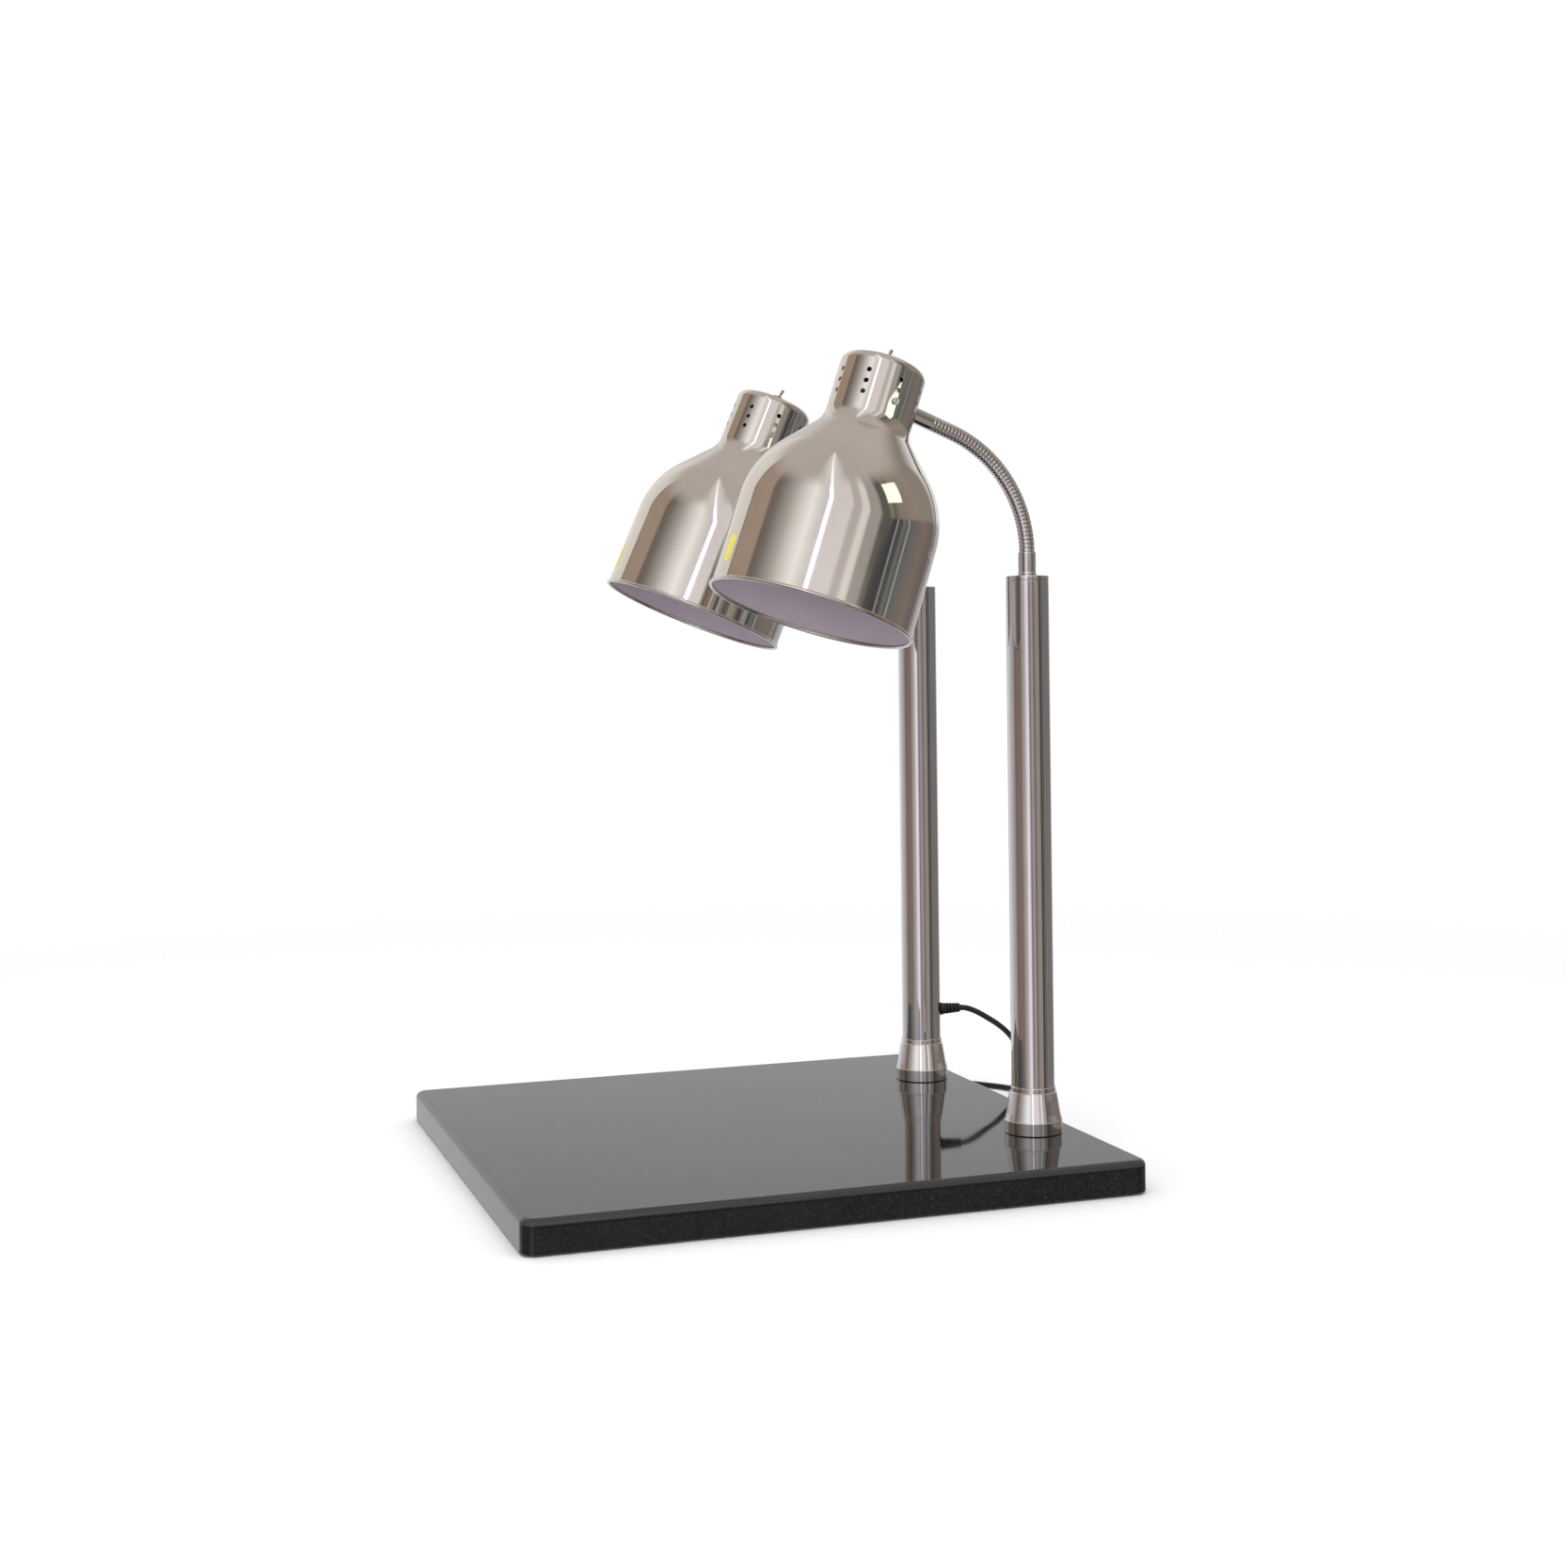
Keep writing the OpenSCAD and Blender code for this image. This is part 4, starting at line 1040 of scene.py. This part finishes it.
def between(tree, value, low, high):
    """A smooth share, from 0 where the value is low to 1 where it is high."""
    made = add(tree, "MapRange", {0: value, 1: low, 2: high}, interpolation_type="SMOOTHSTEP")
    return made.outputs[0]


def away_from(tree, angle, degrees):
    """How far an angle is from one given in degrees, in turns."""
    return maths(tree, "ABSOLUTE", maths(tree, "SUBTRACT", angle, (degrees + 180) / 360))


def add_world():
    """A plain white surround for the camera, soft light, and the studio's cards for gloss."""
    world = bpy.data.worlds.new("studio")
    bpy.context.scene.world = world
    world.use_nodes = True
    tree = world.node_tree
    tree.nodes.clear()
    direction = add(tree, "TexCoord").outputs["Generated"]
    turned_view = add(tree, "VectorRotate", {"Vector": direction,
                                             "Angle": math.radians(-CAMERA_SIDE)},
                      rotation_type="Z_AXIS").outputs[0]
    parts = add(tree, "SeparateXYZ", {0: turned_view})
    around = maths(tree, "ARCTAN2", parts.outputs[1], parts.outputs[0])
    angle = add(tree, "MapRange", {0: around, 1: -math.pi, 2: math.pi}).outputs[0]
    height = parts.outputs[2]
    low = card_ramp(tree, angle, LOW_CARDS)
    high = card_ramp(tree, angle, HIGH_CARDS)
    for degrees, half, colour in STRIPES:
        shown = between(tree, away_from(tree, angle, degrees), 1.4 * half / 360, 0.6 * half / 360)
        low = mixed(tree, shown, low, (*colour, 1))
    wall = mixed(tree, between(tree, height, *TO_HIGH), low, high)
    behind = between(tree, away_from(tree, angle, 0), *TO_BACK)
    wall = mixed(tree, behind, wall, (*BACK_WALL, 1))
    sky = mixed(tree, between(tree, height, *TO_CEILING), wall, (*CEILING, 1))
    beside = away_from(tree, angle, STREAK)
    for width, heights, colour in STREAK_PARTS:
        shown = maths(tree, "MULTIPLY", between(tree, beside, *width), between(tree, height, *heights))
        sky = mixed(tree, shown, sky, (*colour, 1))
    mirrored = add(tree, "Background", {"Color": sky}).outputs[0]
    seen = add(tree, "Background", {"Color": (1, 1, 1, 1)}).outputs[0]
    light = add(tree, "Background", {"Color": (0.97, 0.98, 1.0, 1), "Strength": 0.9}).outputs[0]
    path = add(tree, "LightPath").outputs
    unseen = add(tree, "MixShader", {0: path["Is Glossy Ray"], 1: light, 2: mirrored}).outputs[0]
    whole = add(tree, "MixShader", {0: path["Is Camera Ray"], 1: unseen, 2: seen}).outputs[0]
    output = tree.nodes.new("ShaderNodeOutputWorld")
    tree.links.new(whole, output.inputs["Surface"])


def add_floor():
    """A round pale floor whose edge fades into the white surround."""
    radius, fade_from = 2.6, 0.7
    points, faces = lathe([(0, 0), (radius / MM, 0)], 96, False)
    floor = make_mesh("studio_floor", points, faces)
    material, tree, shader, place = new_material("studio_floor")
    far = add(tree, "VectorMath", {0: place}, operation="LENGTH").outputs["Value"]
    feed(tree, shader, {
        "Base Color": grey_ramp(tree, noise(tree, place, 3.0, 2.0), (0.0, 0.90), (1.0, 0.92)),
        "Roughness": 0.8,
        "Specular IOR Level": 0.15,
        "Alpha": between(tree, far, radius * 0.98, fade_from),
    })
    floor.data.materials.append(material)
    floor.visible_glossy = False


def add_softbox(name, size, watts, place, target):
    """A soft light that gloss doesn't mirror, with its size and places in metres."""
    data = bpy.data.lights.new(name, "AREA")
    data.shape = "RECTANGLE"
    data.size, data.size_y = size
    data.energy = watts
    light = new_object(name, data)
    light.location = place
    light.rotation_mode = "QUATERNION"
    light.rotation_quaternion = (Vector(target) - Vector(place)).to_track_quat("-Z", "Y")
    light.visible_glossy = False
    return light


def add_stage():
    """The surround, the floor and the lights. The small card beside the right lamp is the one
    light that only gloss sees: it makes the bright patches on the lamp's neck and shoulder."""
    bpy.context.scene.view_settings.view_transform = "Standard"
    add_world()
    add_floor()
    add_softbox("top_softbox", (3.0, 3.0), 34, (0.2, -0.2, 2.6), (0, 0, 0))
    add_softbox("front_softbox", (1.8, 1.6), 6, (2.2, -1.8, 1.5), (0, 0, 0.4))
    card = add_softbox("small_card", (0.075, 0.085), 0.030, (0.376, 0.187, 0.752), (0.25, 0.07, 0.70))
    card.data.color = (1.0, 1.0, 0.86)
    card.visible_glossy = True
    card.visible_diffuse = card.visible_camera = False


# ---------- the whole warmer ----------

add_camera()
look = make_materials()
lead, cord_exit, cord_length = add_cord(look["cable"])
strap = add_tie(look["tie"])
plug = add_plug(look["plastic"], look["brass"])
add_strain_relief(look["rubber"])
paint_nodes(["stone_base"], look["granite"])
paint_nodes(["rubber_feet"], look["rubber"])
paint_nodes(["post_bolts", "post_washers", "channel_cover", "right_post_foot", "left_post_foot"],
            look["zinc"])
paint_nodes(["link_cable", "right_post_wire", "left_post_wire"], look["cable"])
for side in (RIGHT, LEFT):
    add_post(side, look)
    add_arm(side, look)
    add_shade(side, look)
    add_label(side, look)
    add_lamp_inside(side, look)
add_stage()
